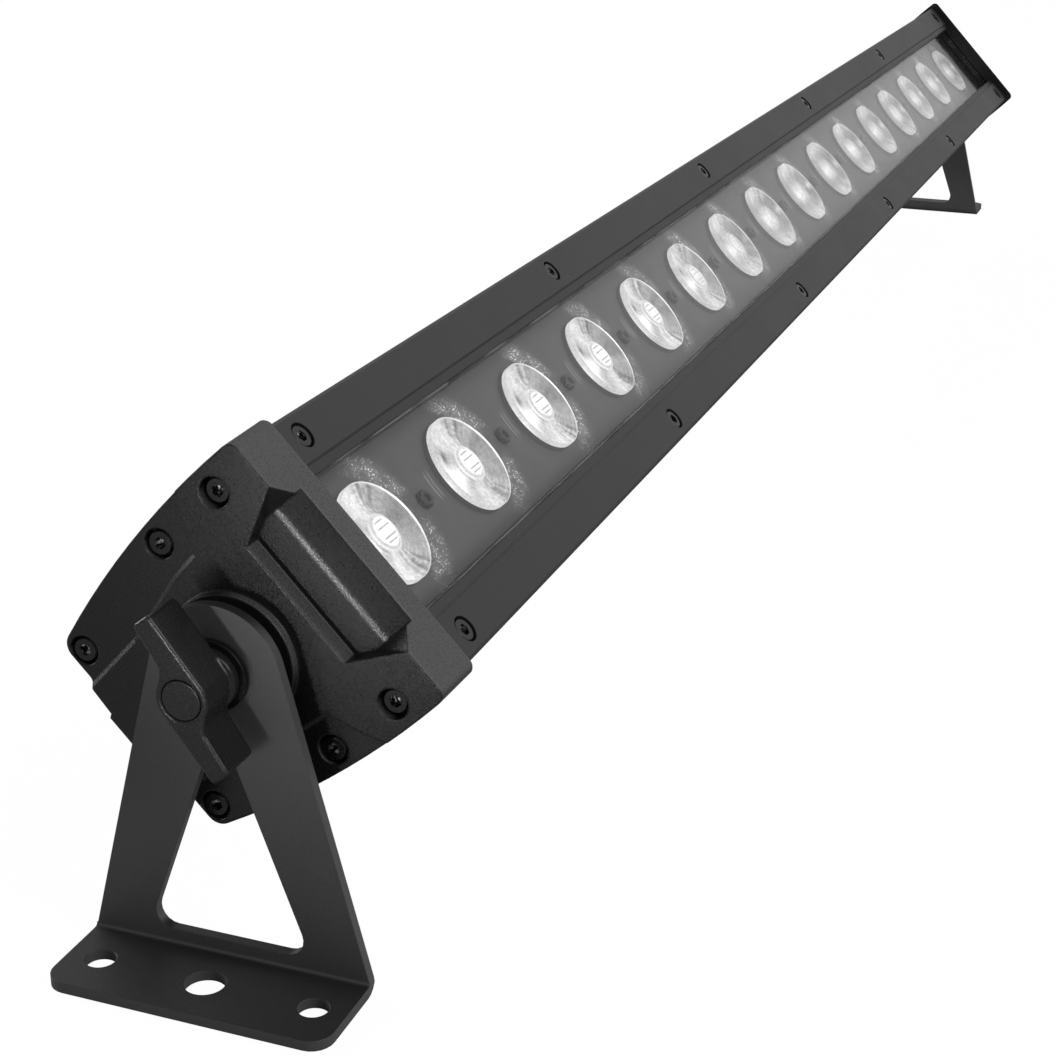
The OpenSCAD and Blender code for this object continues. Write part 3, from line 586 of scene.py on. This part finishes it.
brass = Finish("brass", Metallic=1.0, Base_Color=(0.60, 0.44, 0.17), Roughness=0.3)
brass.bump(brass.noise(0.5 * MM), 0.02 * MM)
brass.wear(*[nodes[n] for n in ("pivot_bush_near", "pivot_bush_far", "mask_posts",
                                "board_standoffs")])

gland_plastic = Finish("gland_plastic", Roughness=0.45)
gland_grain = gland_plastic.noise(0.7 * MM)
gland_plastic.tint(gland_grain * 0.01 + 0.012)
gland_plastic.bump(gland_grain, 0.03 * MM, edge=0.3 * MM)
gland_plastic.wear(*glands)
small_finishes = (mask_screw_coat, rubber, steel, brass, gland_plastic)
print("made", ", ".join(finish.material.name for finish in small_finishes))

# %% [markdown]
# ## Boards and what is on them
#
# The boards and emitters lie behind the mask and the lenses, and the driver in a closed box, so
# they get plain finishes in the usual colours: white solder mask under the lenses and green in
# the back. A traced circuit would never be seen.

# %% Board finishes
board_white = Finish("board_white", Roughness=0.35)
board_white.tint(board_white.noise(6 * MM) * 0.08 + 0.72)
board_white.wear(nodes["led_boards"])
board_green = Finish("board_green", Base_Color=(0.02, 0.11, 0.05), Roughness=0.35)
board_green.bump(board_green.noise(2 * MM), 0.03 * MM)
board_green.wear(nodes["driver_board"], nodes["control_board"])
parts_dark = Finish("parts_dark", Roughness=0.5)
parts_dark.tint(parts_dark.noise(4 * MM) * 0.02 + 0.02)
parts_dark.wear(nodes["driver_parts"])
emitter = Finish("emitter", Base_Color=(0.9, 0.9, 0.85), Roughness=0.3,
                 Emission_Color=(1.0, 1.0, 1.0), Emission_Strength=3.0)
emitter.wear(nodes["led_emitters"])
print("the emitters give", emitter.shader.inputs["Emission Strength"].default_value)

# %% [markdown]
# ## One formula for sixteen lenses
#
# Everything under the glass repeats with the lenses. In a material, the place along the bar is
# folded by the lens pitch, so that distance and direction from the nearest lens centre come
# from one formula. In a mesh, one array of points is shifted to every lens place.

# %% Lens places, in numbers and in sockets
LENS_R = (lens_high[1] - lens_low[1]) / 2
LENS_TOP = lens_high[2]
first_lens = lens_low[0] + LENS_R
last_lens = lens_high[0] - LENS_R
LENS_COUNT = 16
LENS_PITCH = (last_lens - first_lens) / (LENS_COUNT - 1)
lens_places = first_lens + LENS_PITCH * np.arange(LENS_COUNT)
print(LENS_COUNT, "lenses, pitch", round(LENS_PITCH, 4), "rim radius", round(LENS_R, 4))


def from_lens(finish):
    """Sums for distance, place along and place across from the nearest lens centre, in metres."""
    rest = finish.add("VectorMath", {"operation": "SUBTRACT"}, i0=finish.place,
                      i1=(first_lens - LENS_PITCH / 2, PIVOT[1], PIVOT[2]))
    along = finish.dot(rest, ALONG)
    across = finish.dot(rest, ACROSS)
    folded = along.math("WRAP", along, LENS_PITCH, 0.0) - LENS_PITCH / 2
    return (folded * folded + across * across) ** 0.5, folded, across


# %% [markdown]
# ## The mask plate
#
# The mask is a matt dark grey sheet. Light that leaves a lens sideways comes back from the
# underside of the glass and lands on it as bright specks: two clouds on the far side of each
# lens, thin between them, and two fine arcs on the near side. Tracing such light takes very
# long and stays grainy, so it is painted light, given off and put into the colour: dots of a
# Voronoi pattern, let through where a noise is high and where the belt and the clouds of the
# nearest lens allow it. The sheet is painted darker towards its long edges, as painted shade
# from the bezels, and gives off a little painted light of its own grey.

# %% Mask plate with its specks
mask_grey = Finish("mask_grey", Roughness=0.6)
radius, beside, across = from_lens(mask_grey)
belt = radius.step(18 * MM, 21 * MM) * radius.step(30 * MM, 24 * MM)
far_side = beside.step(3 * MM, 13 * MM)
upper_cloud = across.band(13 * MM, 5 * MM, 5 * MM)
lower_cloud = across.band(-12 * MM, 4 * MM, 5 * MM) * 0.85
clouds = belt * far_side * (upper_cloud + lower_cloud + 0.15)
DOT_SIZE = 0.8 * MM
dots = mask_grey.number(mask_grey.add("TexVoronoi", Vector=mask_grey.place, Scale=1 / DOT_SIZE))
let_through = mask_grey.noise(2.0 * MM, detail=3.0, rough=0.7).step(0.38, 0.60)
specks = dots.step(0.45, 0.15) * let_through
haze = mask_grey.noise(5 * MM).step(0.3, 0.7)
near_side = beside.step(-12 * MM, -16 * MM) * across.band(1.5 * MM, 3 * MM, 2.5 * MM)
outer_arc = radius.band(21.2 * MM, 0.2 * MM, 0.35 * MM) * 0.10
inner_arc = radius.band(19.3 * MM, 0.4 * MM, 0.6 * MM) * 0.05
glow = clouds * (specks * 0.85 + 0.085) * (haze * 0.6 + 0.4) + (outer_arc + inner_arc) * near_side
# Painted shade: the plate darkens towards the bezels, and a quarter of its grey is given off as painted light.
bezel_shade = across.math("ABSOLUTE", across).step(17 * MM, 22 * MM)
plate_tone_and_shade = (mask_grey.noise(9 * MM, detail=3.0) * 0.02 + 0.045) * (1 - bezel_shade * 0.6)
mask_grey.tint(glow * 0.5 + plate_tone_and_shade)
mask_grey.shine(glow + plate_tone_and_shade * 0.25)
mask_grey.wear(nodes["mask_plate"], nodes["lens_holders"])
print("the mask's pattern has", len(mask_grey.tree.nodes), "nodes")

# %% [markdown]
# ## Lenses with light in them
#
# Each lens is a solid cone of clear plastic over one emitter. Light turns round inside it many
# times, so tracing real glass would give grain, not a picture. What one sees is simpler: a dish
# tiled with small pillows, each brighter or darker than its neighbour, a round eye in the
# middle with the dies as bars in it, a flood of white on the near side and a fine bright rim.
# So the lens is made as a closed turned surface whose dish has real pillows, and the light is
# written on its points as an attribute, worked out from radius and direction.
#
# A turned surface is a grid: rows from the middle outwards, columns round the axis. The helper
# below turns such grids into one mesh.


# %% Grids of points as one mesh
def weave(name, points, **attributes):
    """A mesh of quads from points of shape copies, rows, columns, 3; columns close in a ring."""
    copies, rows, columns, _ = points.shape
    copy, row, column = np.meshgrid(np.arange(copies), np.arange(rows - 1), np.arange(columns),
                                    indexing="ij")
    beside_column = (column + 1) % columns
    start = copy * rows * columns
    quads = np.stack([start + row * columns + column, start + (row + 1) * columns + column,
                      start + (row + 1) * columns + beside_column,
                      start + row * columns + beside_column], axis=-1).reshape(-1, 4)
    mesh = bpy.data.meshes.new(name)
    mesh.vertices.add(copies * rows * columns)
    mesh.vertices.foreach_set("co", points.astype(np.float32).ravel())
    mesh.loops.add(quads.size)
    mesh.loops.foreach_set("vertex_index", quads.astype(np.int32).ravel())
    mesh.polygons.add(len(quads))
    mesh.polygons.foreach_set("loop_start", np.arange(0, quads.size, 4, dtype=np.int32))
    mesh.update(calc_edges=True)
    for key, values in attributes.items():
        layer = mesh.attributes.new(key, "FLOAT", "POINT")
        layer.data.foreach_set("value", values.astype(np.float32).ravel())
    solid = bmesh.new()
    solid.from_mesh(mesh)
    bmesh.ops.remove_doubles(solid, verts=solid.verts, dist=0.001 * MM)
    for face in solid.faces:
        face.smooth = True
    solid.to_mesh(mesh)
    solid.free()
    return mesh


def ease(value, low, high):
    """The soft step from 0 at low to 1 at high, for arrays: 3 t squared minus 2 t cubed."""
    share = np.clip((value - low) / (high - low), 0.0, 1.0)
    return share * share * (3 - 2 * share)


# %% [markdown]
# ### The shape of a lens
#
# From the middle outwards a lens has a domed eye, a step down, a shallow dish that is tiled
# with pillows, and a rim. Behind the rim it narrows to a cone with a hollow, in which the
# emitter sits. The dish needs rows close together, so that each pillow gets its own height, and
# the smooth parts do with few.

# %% The profile and the pillows
LENS_COLUMNS = 96
DISH_ROWS = 20
EYE_SHARE = 0.31
PILLOW = 0.08 * MM
RIM_SHARE = 0.953
RIM_R = RIM_SHARE * LENS_R
dish_shares = np.linspace(0.38, 0.90, DISH_ROWS)
front_shares = np.concatenate([[0.0, 0.1, 0.2, 0.27, EYE_SHARE, 0.33, 0.355], dish_shares,
                               [0.925, 0.945, 0.962, 0.975, 0.987, 1.0]])
turn = np.arange(LENS_COLUMNS) / LENS_COLUMNS * 2 * np.pi


def front_height(share):
    """Height in metres against the rim, from share 0 in the middle to 1 at the rim.

    A domed eye as high as the rim, a step down round it, and a shallow dish that comes up again.
    """
    eye = 0.3 * (1 - (share / EYE_SHARE) ** 2) - 0.3
    groove = -0.3 - 0.4 * ease(share, EYE_SHARE, 0.345)
    in_dish = np.clip((share - 0.36) / 0.58, 0, 1)
    dish = 0.7 * ease(share, 0.36, 0.94) - 0.9 * np.sin(np.pi * in_dish)
    return np.where(share <= EYE_SHARE, eye, groove + dish) * MM


def pillows(share, angle):
    """Bulges of PILLOW metres: a cosine over two rows times a cosine over two columns."""
    rows = np.cos(np.pi * (share - dish_shares[0]) / (dish_shares[1] - dish_shares[0]))
    columns = np.cos(LENS_COLUMNS / 2 * angle)
    inside = ease(share, 0.36, 0.42) * (1 - ease(share, 0.88, 0.92))
    return PILLOW * rows * columns * inside


share, angle = np.meshgrid(front_shares, turn, indexing="ij")
front = np.stack([share * RIM_R * np.cos(angle), share * RIM_R * np.sin(angle),
                  front_height(share) + pillows(share, angle)], axis=-1)
# Shares of the lens's radius, and millimetres from its top: the wall, the cone and its hollow
body_profile = np.array([[RIM_SHARE, -3.1], [RIM_SHARE, -3.4], [0.985, -3.6], [1.0, -3.8],
                         [1.0, -4.4], [0.85, -4.5], [0.74, -6.4], [0.60, -8.6],
                         [0.47, -10.6], [0.34, -12.4], [0.24, -12.4], [0.20, -8.0],
                         [0.0, -7.8]])
back_radii, back_heights = body_profile[:, :1] * LENS_R, body_profile[:, 1:] * MM
back = np.stack(np.broadcast_arrays(back_radii * np.cos(turn), back_radii * np.sin(turn),
                                    back_heights), axis=-1)
lens_form = np.concatenate([front, back])
print("one lens has", lens_form.shape[0] * LENS_COLUMNS, "points")

# %% [markdown]
# ### The light in a lens
#
# Direction 0 is the far side, a quarter turn is towards the upper bezel and half a turn is the
# near side. The near side is flooded, the two ends are bright and tiled, and the far side is a
# quieter grey under the thickest part of the bright rim. Most of it is a sum of soft bells, each
# with a shade, a middle direction and a half width in degrees.
#
# All lenses are alike, but this light is only what one sees of them from near and above. From
# the fifth lens on it gives way, step by step, to what one sees at a flat slant: an even grey
# with bright ends and one soft spot.

# %% Soft bells, and one light over another
def toward(angle, middle, half):
    """A soft bell: 1 at a middle direction, and an eighth at half degrees from it.

    It is e to the power of minus twice the square of the distance in halves.
    """
    apart = np.abs((np.degrees(angle) - middle + 180) % 360 - 180)
    return np.exp(-((apart / half) ** 2) * 2)


def bells(angle, table):
    """The sum of the bells in a table, each times its shade."""
    return sum(shade * toward(angle, middle, half) for shade, middle, half in table)


def over(light, shade, cover):
    """Light with a shade laid over it, which hides it where cover is 1."""
    return light * (1 - cover) + shade * cover


print("a bell at its half width:", round(float(toward(np.radians(30), 0, 30)), 3))

# %% [markdown]
# ### Tiles and rays
#
# The lenses are alike in shape, but no two break up the light quite alike. The difference is
# random, and comes from dice with a fixed start, so every run throws the same. A tile is two
# rows by two columns, as large as a pillow, and a ray runs from the eye to the rim.

# %% Random shades
UPPER_FAN = (70, 26)
LOWER_FAN = (282, 24)
dice = np.random.default_rng(16)


def tiles(rows, columns):
    """Random shades for every lens, one to each two rows and two columns, as wide as the rows."""
    shades = dice.random((LENS_COUNT, (rows + 1) // 2, columns // 2))
    return np.repeat(np.repeat(shades, 2, axis=1)[:, :rows], 2, axis=2)


def sectors(columns, wide):
    """Random shades for every lens that change only with direction, in steps of wide columns."""
    shades = dice.random((LENS_COUNT, 1, columns // wide))
    return np.repeat(shades, wide, axis=2)


def mottle_of(share, angle):
    """Random light and dark in tiles and in fine and broad rays, strongest in two fans."""
    rows, columns = share.shape
    upper_fan, lower_fan = toward(angle, *UPPER_FAN), toward(angle, *LOWER_FAN)
    mottle = (tiles(rows, columns) - 0.5) * (0.09 + 0.12 * upper_fan + 0.12 * lower_fan)
    mottle += (sectors(columns, 1) - 0.5) * (0.04 + 0.22 * upper_fan + 0.26 * lower_fan)
    mottle += (sectors(columns, 4) - 0.5) * 0.10 + (sectors(columns, 8) - 0.5) * 0.06
    return mottle


print("fans of strong rays, middle and half width:", UPPER_FAN, LOWER_FAN)

# %% [markdown]
# ### The dish from near, and at a slant
#
# Both are functions of the share of the radius and of the direction. From near, the flood hides
# what lies under it, and rings, streaks and a moon are darker than the rest. At a slant, only
# the ends, one spot and a dot are left.

# %% The light of the dish
LEVEL_BELLS = ((-0.24, 8, 65), (0.12, 108, 34), (0.10, 250, 32), (-0.05, 290, 16))
RINGED_BELLS = ((0.16, 212, 26), (0.10, 300, 30))
STREAK_BELLS = ((0.22, 58, 5), (0.26, 76, 5), (0.28, 281, 5), (0.16, 296, 4))
RING_PITCH = 0.085


def seen_near(share, angle, mottle):
    """The dish from near: bells of shade, the flood, rings, dark streaks and a dark moon."""
    flood = toward(angle, 190, 34) * ease(share, 0.36, 0.5) * (1 - ease(share, 0.95, 0.99))
    light = over(0.77 + bells(angle, LEVEL_BELLS) + mottle, 1.15, flood)
    rings = 0.5 + 0.5 * np.cos(share * 2 * np.pi / RING_PITCH)
    light = light - rings * bells(angle, RINGED_BELLS)
    light = light - bells(angle, STREAK_BELLS) * ease(share, 0.5, 0.75)
    moon = toward(angle, 149, 15) * np.exp(-(((share - 0.69) / 0.10) ** 2))
    return light - 0.45 * moon


def seen_at_a_slant(share, angle, mottle):
    """The dish at a flat slant: even grey, bright ends, one soft spot and a dot at the rim."""
    beside, above = share * np.cos(angle), share * np.sin(angle)
    ends = ease(np.abs(above), 0.40, 0.85)
    spot = np.exp(-((beside + 0.34) ** 2 + (above + 0.03) ** 2) / 0.34**2)
    dot = np.exp(-((beside - 0.84) ** 2 + above**2) / 0.12**2)
    return 0.57 + 0.28 * ends + mottle * 0.8 + 0.55 * spot + 0.4 * dot


print(len(LEVEL_BELLS) + len(RINGED_BELLS) + len(STREAK_BELLS), "bells in the dish")

# %% [markdown]
# ### Rim, groove, ring and eye
#
# The last four lie over the dish, each covering it in its own ring of shares. The eye and the
# two thin rings round it belong to the view from near, so they fade with it.

# %% The light of a whole lens
LAST_NEAR, FIRST_FAR = 3, 8
MOST_AWAY = 0.85


def lens_light(share, angle):
    """How light the front of every lens looks; 0 is black and 1 is white, and it can pass both."""
    mottle = mottle_of(share, angle)
    away = ease(np.arange(LENS_COUNT), LAST_NEAR, FIRST_FAR)[:, None, None] * MOST_AWAY
    light = over(seen_near(share, angle, mottle), seen_at_a_slant(share, angle, mottle), away)
    rim_from = 0.985 - 0.05 * np.maximum(np.cos(angle - 0.15), 0) ** 1.5
    rim = ease(share, rim_from - 0.010, rim_from + 0.010) * (1 - 0.6 * away)
    light = over(light, 0.84 + 0.30 * toward(angle, 8, 60), rim)
    near = 1 - 0.9 * away
    past_eye = ease(share, EYE_SHARE - 0.03, EYE_SHARE)
    past_groove = ease(share, 0.335, 0.35)
    past_ring = ease(share, 0.37, 0.40)
    groove_light = 0.82 + 0.14 * toward(angle, 30, 60)
    ring_light = 0.90 + 0.15 * toward(angle, 190, 60)
    light = over(light, groove_light, past_eye * (1 - past_groove) * near)
    light = over(light, ring_light, past_groove * (1 - past_ring) * near)
    return over(light, 1.05, (1 - past_eye) * near)


# %% [markdown]
# ### Sixteen lenses as one piece
#
# The light is made as one sees it, where 0.5 is a middle grey, and a material counts in true
# amounts of light. A power of 2.2 leads from one to the other. The wall of a lens gets little
# light, and its first row gets what the dish has near the rim, so that no dark line shows.

# %% Lens light and lens mesh
SEEN_TO_LIGHT = 2.2
MOST_LIGHT = 1.2
SIDE_LIGHT = 0.08
RIM_ROW = -5
front_light = np.clip(lens_light(share, angle), 0.0, MOST_LIGHT) ** SEEN_TO_LIGHT
side_light = np.full((LENS_COUNT, len(body_profile), LENS_COLUMNS), SIDE_LIGHT)
side_light[:, 0] = front_light[:, RIM_ROW]
lens_points = on_bar(lens_places[:, None, None] + lens_form[None, :, :, 0],
                     lens_form[None, :, :, 1], LENS_TOP + lens_form[None, :, :, 2])
lens_mesh = weave("lens_set", lens_points, glow=np.concatenate([front_light, side_light], axis=1))
lens_set = adopt(bpy.data.objects.new("lens_set", lens_mesh), "lenses")
print("lens light from", round(float(front_light.min()), 2), "to",
      round(float(front_light.max()), 2))

# %% [markdown]
# ### Lens plastic
#
# The plastic is nearly black to light from outside and gives off what is written on its points.
# Two noises make it uneven, as it is with real light behind small faults. The dies of the
# emitter show in the eye as dark bars, at places counted in shares of the lens's radius, and
# they fade out along the bar.

# %% Clear plastic with written light
lens_clear = Finish("lens_clear", Base_Color=(0.04, 0.04, 0.04), Roughness=0.12, IOR=1.49)
lens_radius, lens_beside, lens_across = from_lens(lens_clear)
DIE_BARS = (0.204, 0.086, -0.099, -0.185, -0.262)
BAR_HALF = 0.12 * MM
BARS_END, BARS_FADE = 0.50, 0.25
bars = sum(lens_across.band(place * LENS_R, BAR_HALF, 0.3 * MM) for place in DIE_BARS)
in_eye = lens_radius.step(0.27 * LENS_R, 0.22 * LENS_R) * lens_beside.step(-3.8 * MM, -2.2 * MM)
in_eye = in_eye * lens_clear.dot(lens_clear.place, ALONG).step(BARS_END, BARS_FADE)
fleck = lens_clear.noise(0.7 * MM, detail=3.0, rough=0.7)
soft_cloud = lens_clear.noise(3.2 * MM, detail=2.0)
uneven = fleck - 0.5 + (soft_cloud - 0.5) * 0.4 + 1.0
dark_bars = bars * in_eye * fleck.step(0.2, 0.55) * 0.6
lens_clear.shine(lens_clear.written("glow") * uneven * (1 - dark_bars))
lens_clear.wear(lens_set)
print("the lens plastic has", len(lens_clear.tree.nodes), "nodes")

# %% [markdown]
# ## Glass
#
# The strip of glass is clear. Straight on it all but vanishes, and towards the far end it
# mirrors the white room more and more, which is why the mask looks paler there. A glass shader
# would bend each ray twice and take long to show the same, so the glass is a mix of a clear
# surface and a mirror. The share that is mirrored follows the rule of thumb for glass in air: a
# little, plus the rest times the fifth power of how far the surface is turned away. It is the
# same from both sides.

# %% Front glass
glass = Finish("front_glass", Base_Color=(0.82, 0.82, 0.82), Metallic=1.0)
glass.set("Roughness", glass.noise(14 * MM, detail=3.0) * 0.10 + 0.05)
clear = glass.add("BsdfTransparent")
turned = glass.number(glass.add("LayerWeight", out="Facing", Blend=0.5))
MIRROR_LEAST = 0.04
mirrored = turned ** 5.0 * (1 - MIRROR_LEAST) + MIRROR_LEAST
glass.tree.links.new(glass.add("MixShader", Fac=mirrored, i1=clear, i2=glass.shader.outputs[0]),
                     glass.outlet.inputs["Surface"])
glass.wear(nodes["front_glass"])
print("the glass mirrors", MIRROR_LEAST, "straight on")

# %% [markdown]
# ## The bead that seals the glass
#
# A thin bead of clear sealant runs in the corner between the glass and the two bezels. It is a
# profile carried along a path: a quarter round, swept in a straight line. It swells and
# shrinks, and its colour is lighter in patches, a painted highlight, so the light line on it
# comes and goes.

# %% Sealant bead
BEAD_R = 0.55 * MM
bead_x = np.linspace(glass_low[0], glass_high[0], 240)


def bead(side, window):
    """A closed quarter-round bar along the glass, on that side of it, at the bezel's edge.

    Its profile is BEAD_R times the cosine and sine of a quarter turn, and swells and shrinks.
    """
    corner = np.linspace(0, np.pi / 2, 6)
    arc = np.stack([np.cos(corner), np.sin(corner)], axis=-1)
    profile = np.concatenate([[[0.0, 0.0]], arc]) * BEAD_R
    swell = 1 + 0.12 * np.sin(bead_x * 61.0) + 0.08 * np.sin(bead_x * 143.0 + 1.0)
    across = side * (window - profile[None, :, 0] * swell[:, None])
    out = glass_high[2] + profile[None, :, 1] * swell[:, None]
    return on_bar(bead_x[:, None], across, out)


window_half = in_bar("bezel_upper")[0][1]
bead_mesh = weave("glass_bead", np.stack([bead(1, window_half), bead(-1, window_half)[:, ::-1]]))
glass_bead = bpy.data.objects.new("glass_bead", bead_mesh)
bpy.context.scene.collection.objects.link(glass_bead)
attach(glass_bead, body_of("front_glass"))
sealant = Finish("clear_sealant", Roughness=0.25)
# Painted highlight: the light line along the bead, lighter in patches of its colour.
painted_highlight_patches = sealant.noise(22 * MM, detail=3.0).step(0.42, 0.6)
sealant.tint(painted_highlight_patches * 0.16 + 0.03)
sealant.wear(glass_bead)
print("two beads with", len(bead_mesh.polygons), "faces")

# %% [markdown]
# ## Floor
#
# The floor is white to the eye and a middle grey to everything else, so that it doesn't throw
# light up under a black object. A plain white floor could do that only by being so bright that
# it lights the piece from below. A Light Path node tells the two kinds of ray apart.

# %% Floor
FLOOR_HALF = 30.0
FLOOR_DROP = 0.3 * MM
WHITE_LIGHT = 1.1
WHITE_SHARE = 0.88
floor_mesh = bpy.data.meshes.new("floor")
corners = [(-FLOOR_HALF, -FLOOR_HALF), (FLOOR_HALF, -FLOOR_HALF), (FLOOR_HALF, FLOOR_HALF),
           (-FLOOR_HALF, FLOOR_HALF)]
floor_mesh.from_pydata([(x, y, -FLOOR_DROP) for x, y in corners], [], [(0, 1, 2, 3)])
floor = bpy.data.objects.new("floor", floor_mesh)
bpy.context.scene.collection.objects.link(floor)
paper = Finish("white_paper", Base_Color=(0.45, 0.45, 0.45), Roughness=0.9)
white = paper.add("Emission", Color=(1.0, 1.0, 1.0), Strength=WHITE_LIGHT)
paper.tree.links.new(paper.add("MixShader", Fac=paper.camera_ray() * WHITE_SHARE,
                               i1=paper.shader.outputs[0], i2=white),
                     paper.outlet.inputs["Surface"])
paper.wear(floor)
print("floor", 2 * FLOOR_HALF, "m wide")

# %% [markdown]
# ## The room
#
# The room is a white world that the camera sees as pure white. What the piece gets from it is
# brighter on the side that the camera looks to and dimmer behind the camera, as in a small
# studio with one large soft box. A picture of a real room would do too, but it would put shapes
# into the glass that can't be steered.

# %% World
ROOM_BRIGHT = 0.62
ROOM_DIM = 0.165
SOFT_BOX = np.array([0.874, -0.377, 0.305])
world = bpy.data.worlds.new("white_room")
bpy.context.scene.world = world
world.use_nodes = True
room = Web(world.node_tree)
direction = room.add("TexCoord", out="Generated")
lit = room.dot(direction, SOFT_BOX / np.linalg.norm(SOFT_BOX)).step(-0.1, 0.95)
camera_ray = room.camera_ray()
level = lit * (ROOM_BRIGHT - ROOM_DIM) + ROOM_DIM
background = room.tree.nodes["Background"]
room.put(background.inputs["Strength"], level * (1 - camera_ray) + camera_ray)
background.inputs["Color"].default_value = (1.0, 1.0, 1.0, 1.0)
print("the room gives from", ROOM_DIM, "to", ROOM_BRIGHT)

# %% [markdown]
# ## Lamps
#
# Two broad lamps stand in front and behind, and give soft light with no hard shadow. Two small
# lamps with a narrow beam do one thing each: the crease lamp draws the line of light along the
# crease of the cap's scoop, and the floor lamp lights the front edge of the foot. Without a
# narrow beam both would spill over the whole end face.


# %% Broad and narrow lamps
def soft_lamp(name, place, aim, size, watts, upright=(0.0, 0.0, 1.0), spread=180.0):
    """A rectangular area lamp at a place, facing aim, its height along upright.

    Spread is the angle of its beam in degrees; 180 is the widest.
    """
    data = bpy.data.lights.new(name, "AREA")
    data.shape = "RECTANGLE"
    data.size, data.size_y = size
    data.energy = watts
    data.spread = math.radians(spread)
    lamp = bpy.data.objects.new(name, data)
    bpy.context.scene.collection.objects.link(lamp)
    back = (Vector(place) - Vector(aim)).normalized()
    side = Vector(upright).cross(back).normalized()
    lamp.rotation_euler = Matrix([side, back.cross(side), back]).transposed().to_euler()
    lamp.location = place
    lamp.visible_camera = False
    return lamp


soft_lamp("front_lamp", place=(-0.2, -1.6, 1.3), aim=(0.2, 0.0, 0.1), size=(1.0, 1.0),
          watts=14.0)
soft_lamp("crease_lamp", place=(-0.3, 0.050, 0.045), aim=(0.0259, -0.024, 0.116),
          size=(0.016, 0.08), watts=0.0085, upright=ACROSS, spread=26.0)
soft_lamp("back_lamp", place=(0.5, 2.0, 0.8), aim=(0.5, 0.0, 0.1), size=(1.6, 1.0), watts=26.0)
soft_lamp("floor_lamp", place=(-0.17, 0.0, 0.012), aim=(0.0, -0.02, 0.03), size=(0.16, 0.02),
          watts=0.0014, spread=30.0)
print(len(bpy.data.lights), "lamps")

# %% [markdown]
# ## Camera
#
# The camera stands before the near end, above it and a little to the front, and looks along the
# bar. Its three axes are unit directions at right angles. The focal length is given in pixels of
# a picture PHOTO_WIDTH wide, which is how such cameras are worked out, and a sensor of 36 mm
# turns it into Blender's millimetres.

# %% Camera
EYE = Vector((-0.3833, -0.2306, 0.2994))
LOOK = Vector((0.874195, 0.324870, -0.360892))
RIGHT = Vector((0.350335, -0.936608, 0.005501))
DOWN = Vector((-0.336228, -0.131242, -0.932591))
SENSOR = 36.0
FOCAL_PIXELS = 2004
PHOTO_WIDTH = 1056
scene = bpy.context.scene
camera_data = bpy.data.cameras.new("camera")
camera_data.sensor_width = SENSOR
camera_data.lens = SENSOR * FOCAL_PIXELS / PHOTO_WIDTH
camera_data.clip_start = 10 * MM
camera_data.clip_end = 200.0
camera = bpy.data.objects.new("camera", camera_data)
scene.collection.objects.link(camera)
camera.location = EYE
camera.rotation_euler = Matrix([RIGHT, -DOWN, -LOOK]).transposed().to_euler()
scene.camera = camera
scene.view_settings.view_transform = "Standard"
print("lens of", round(camera_data.lens, 1), "mm")
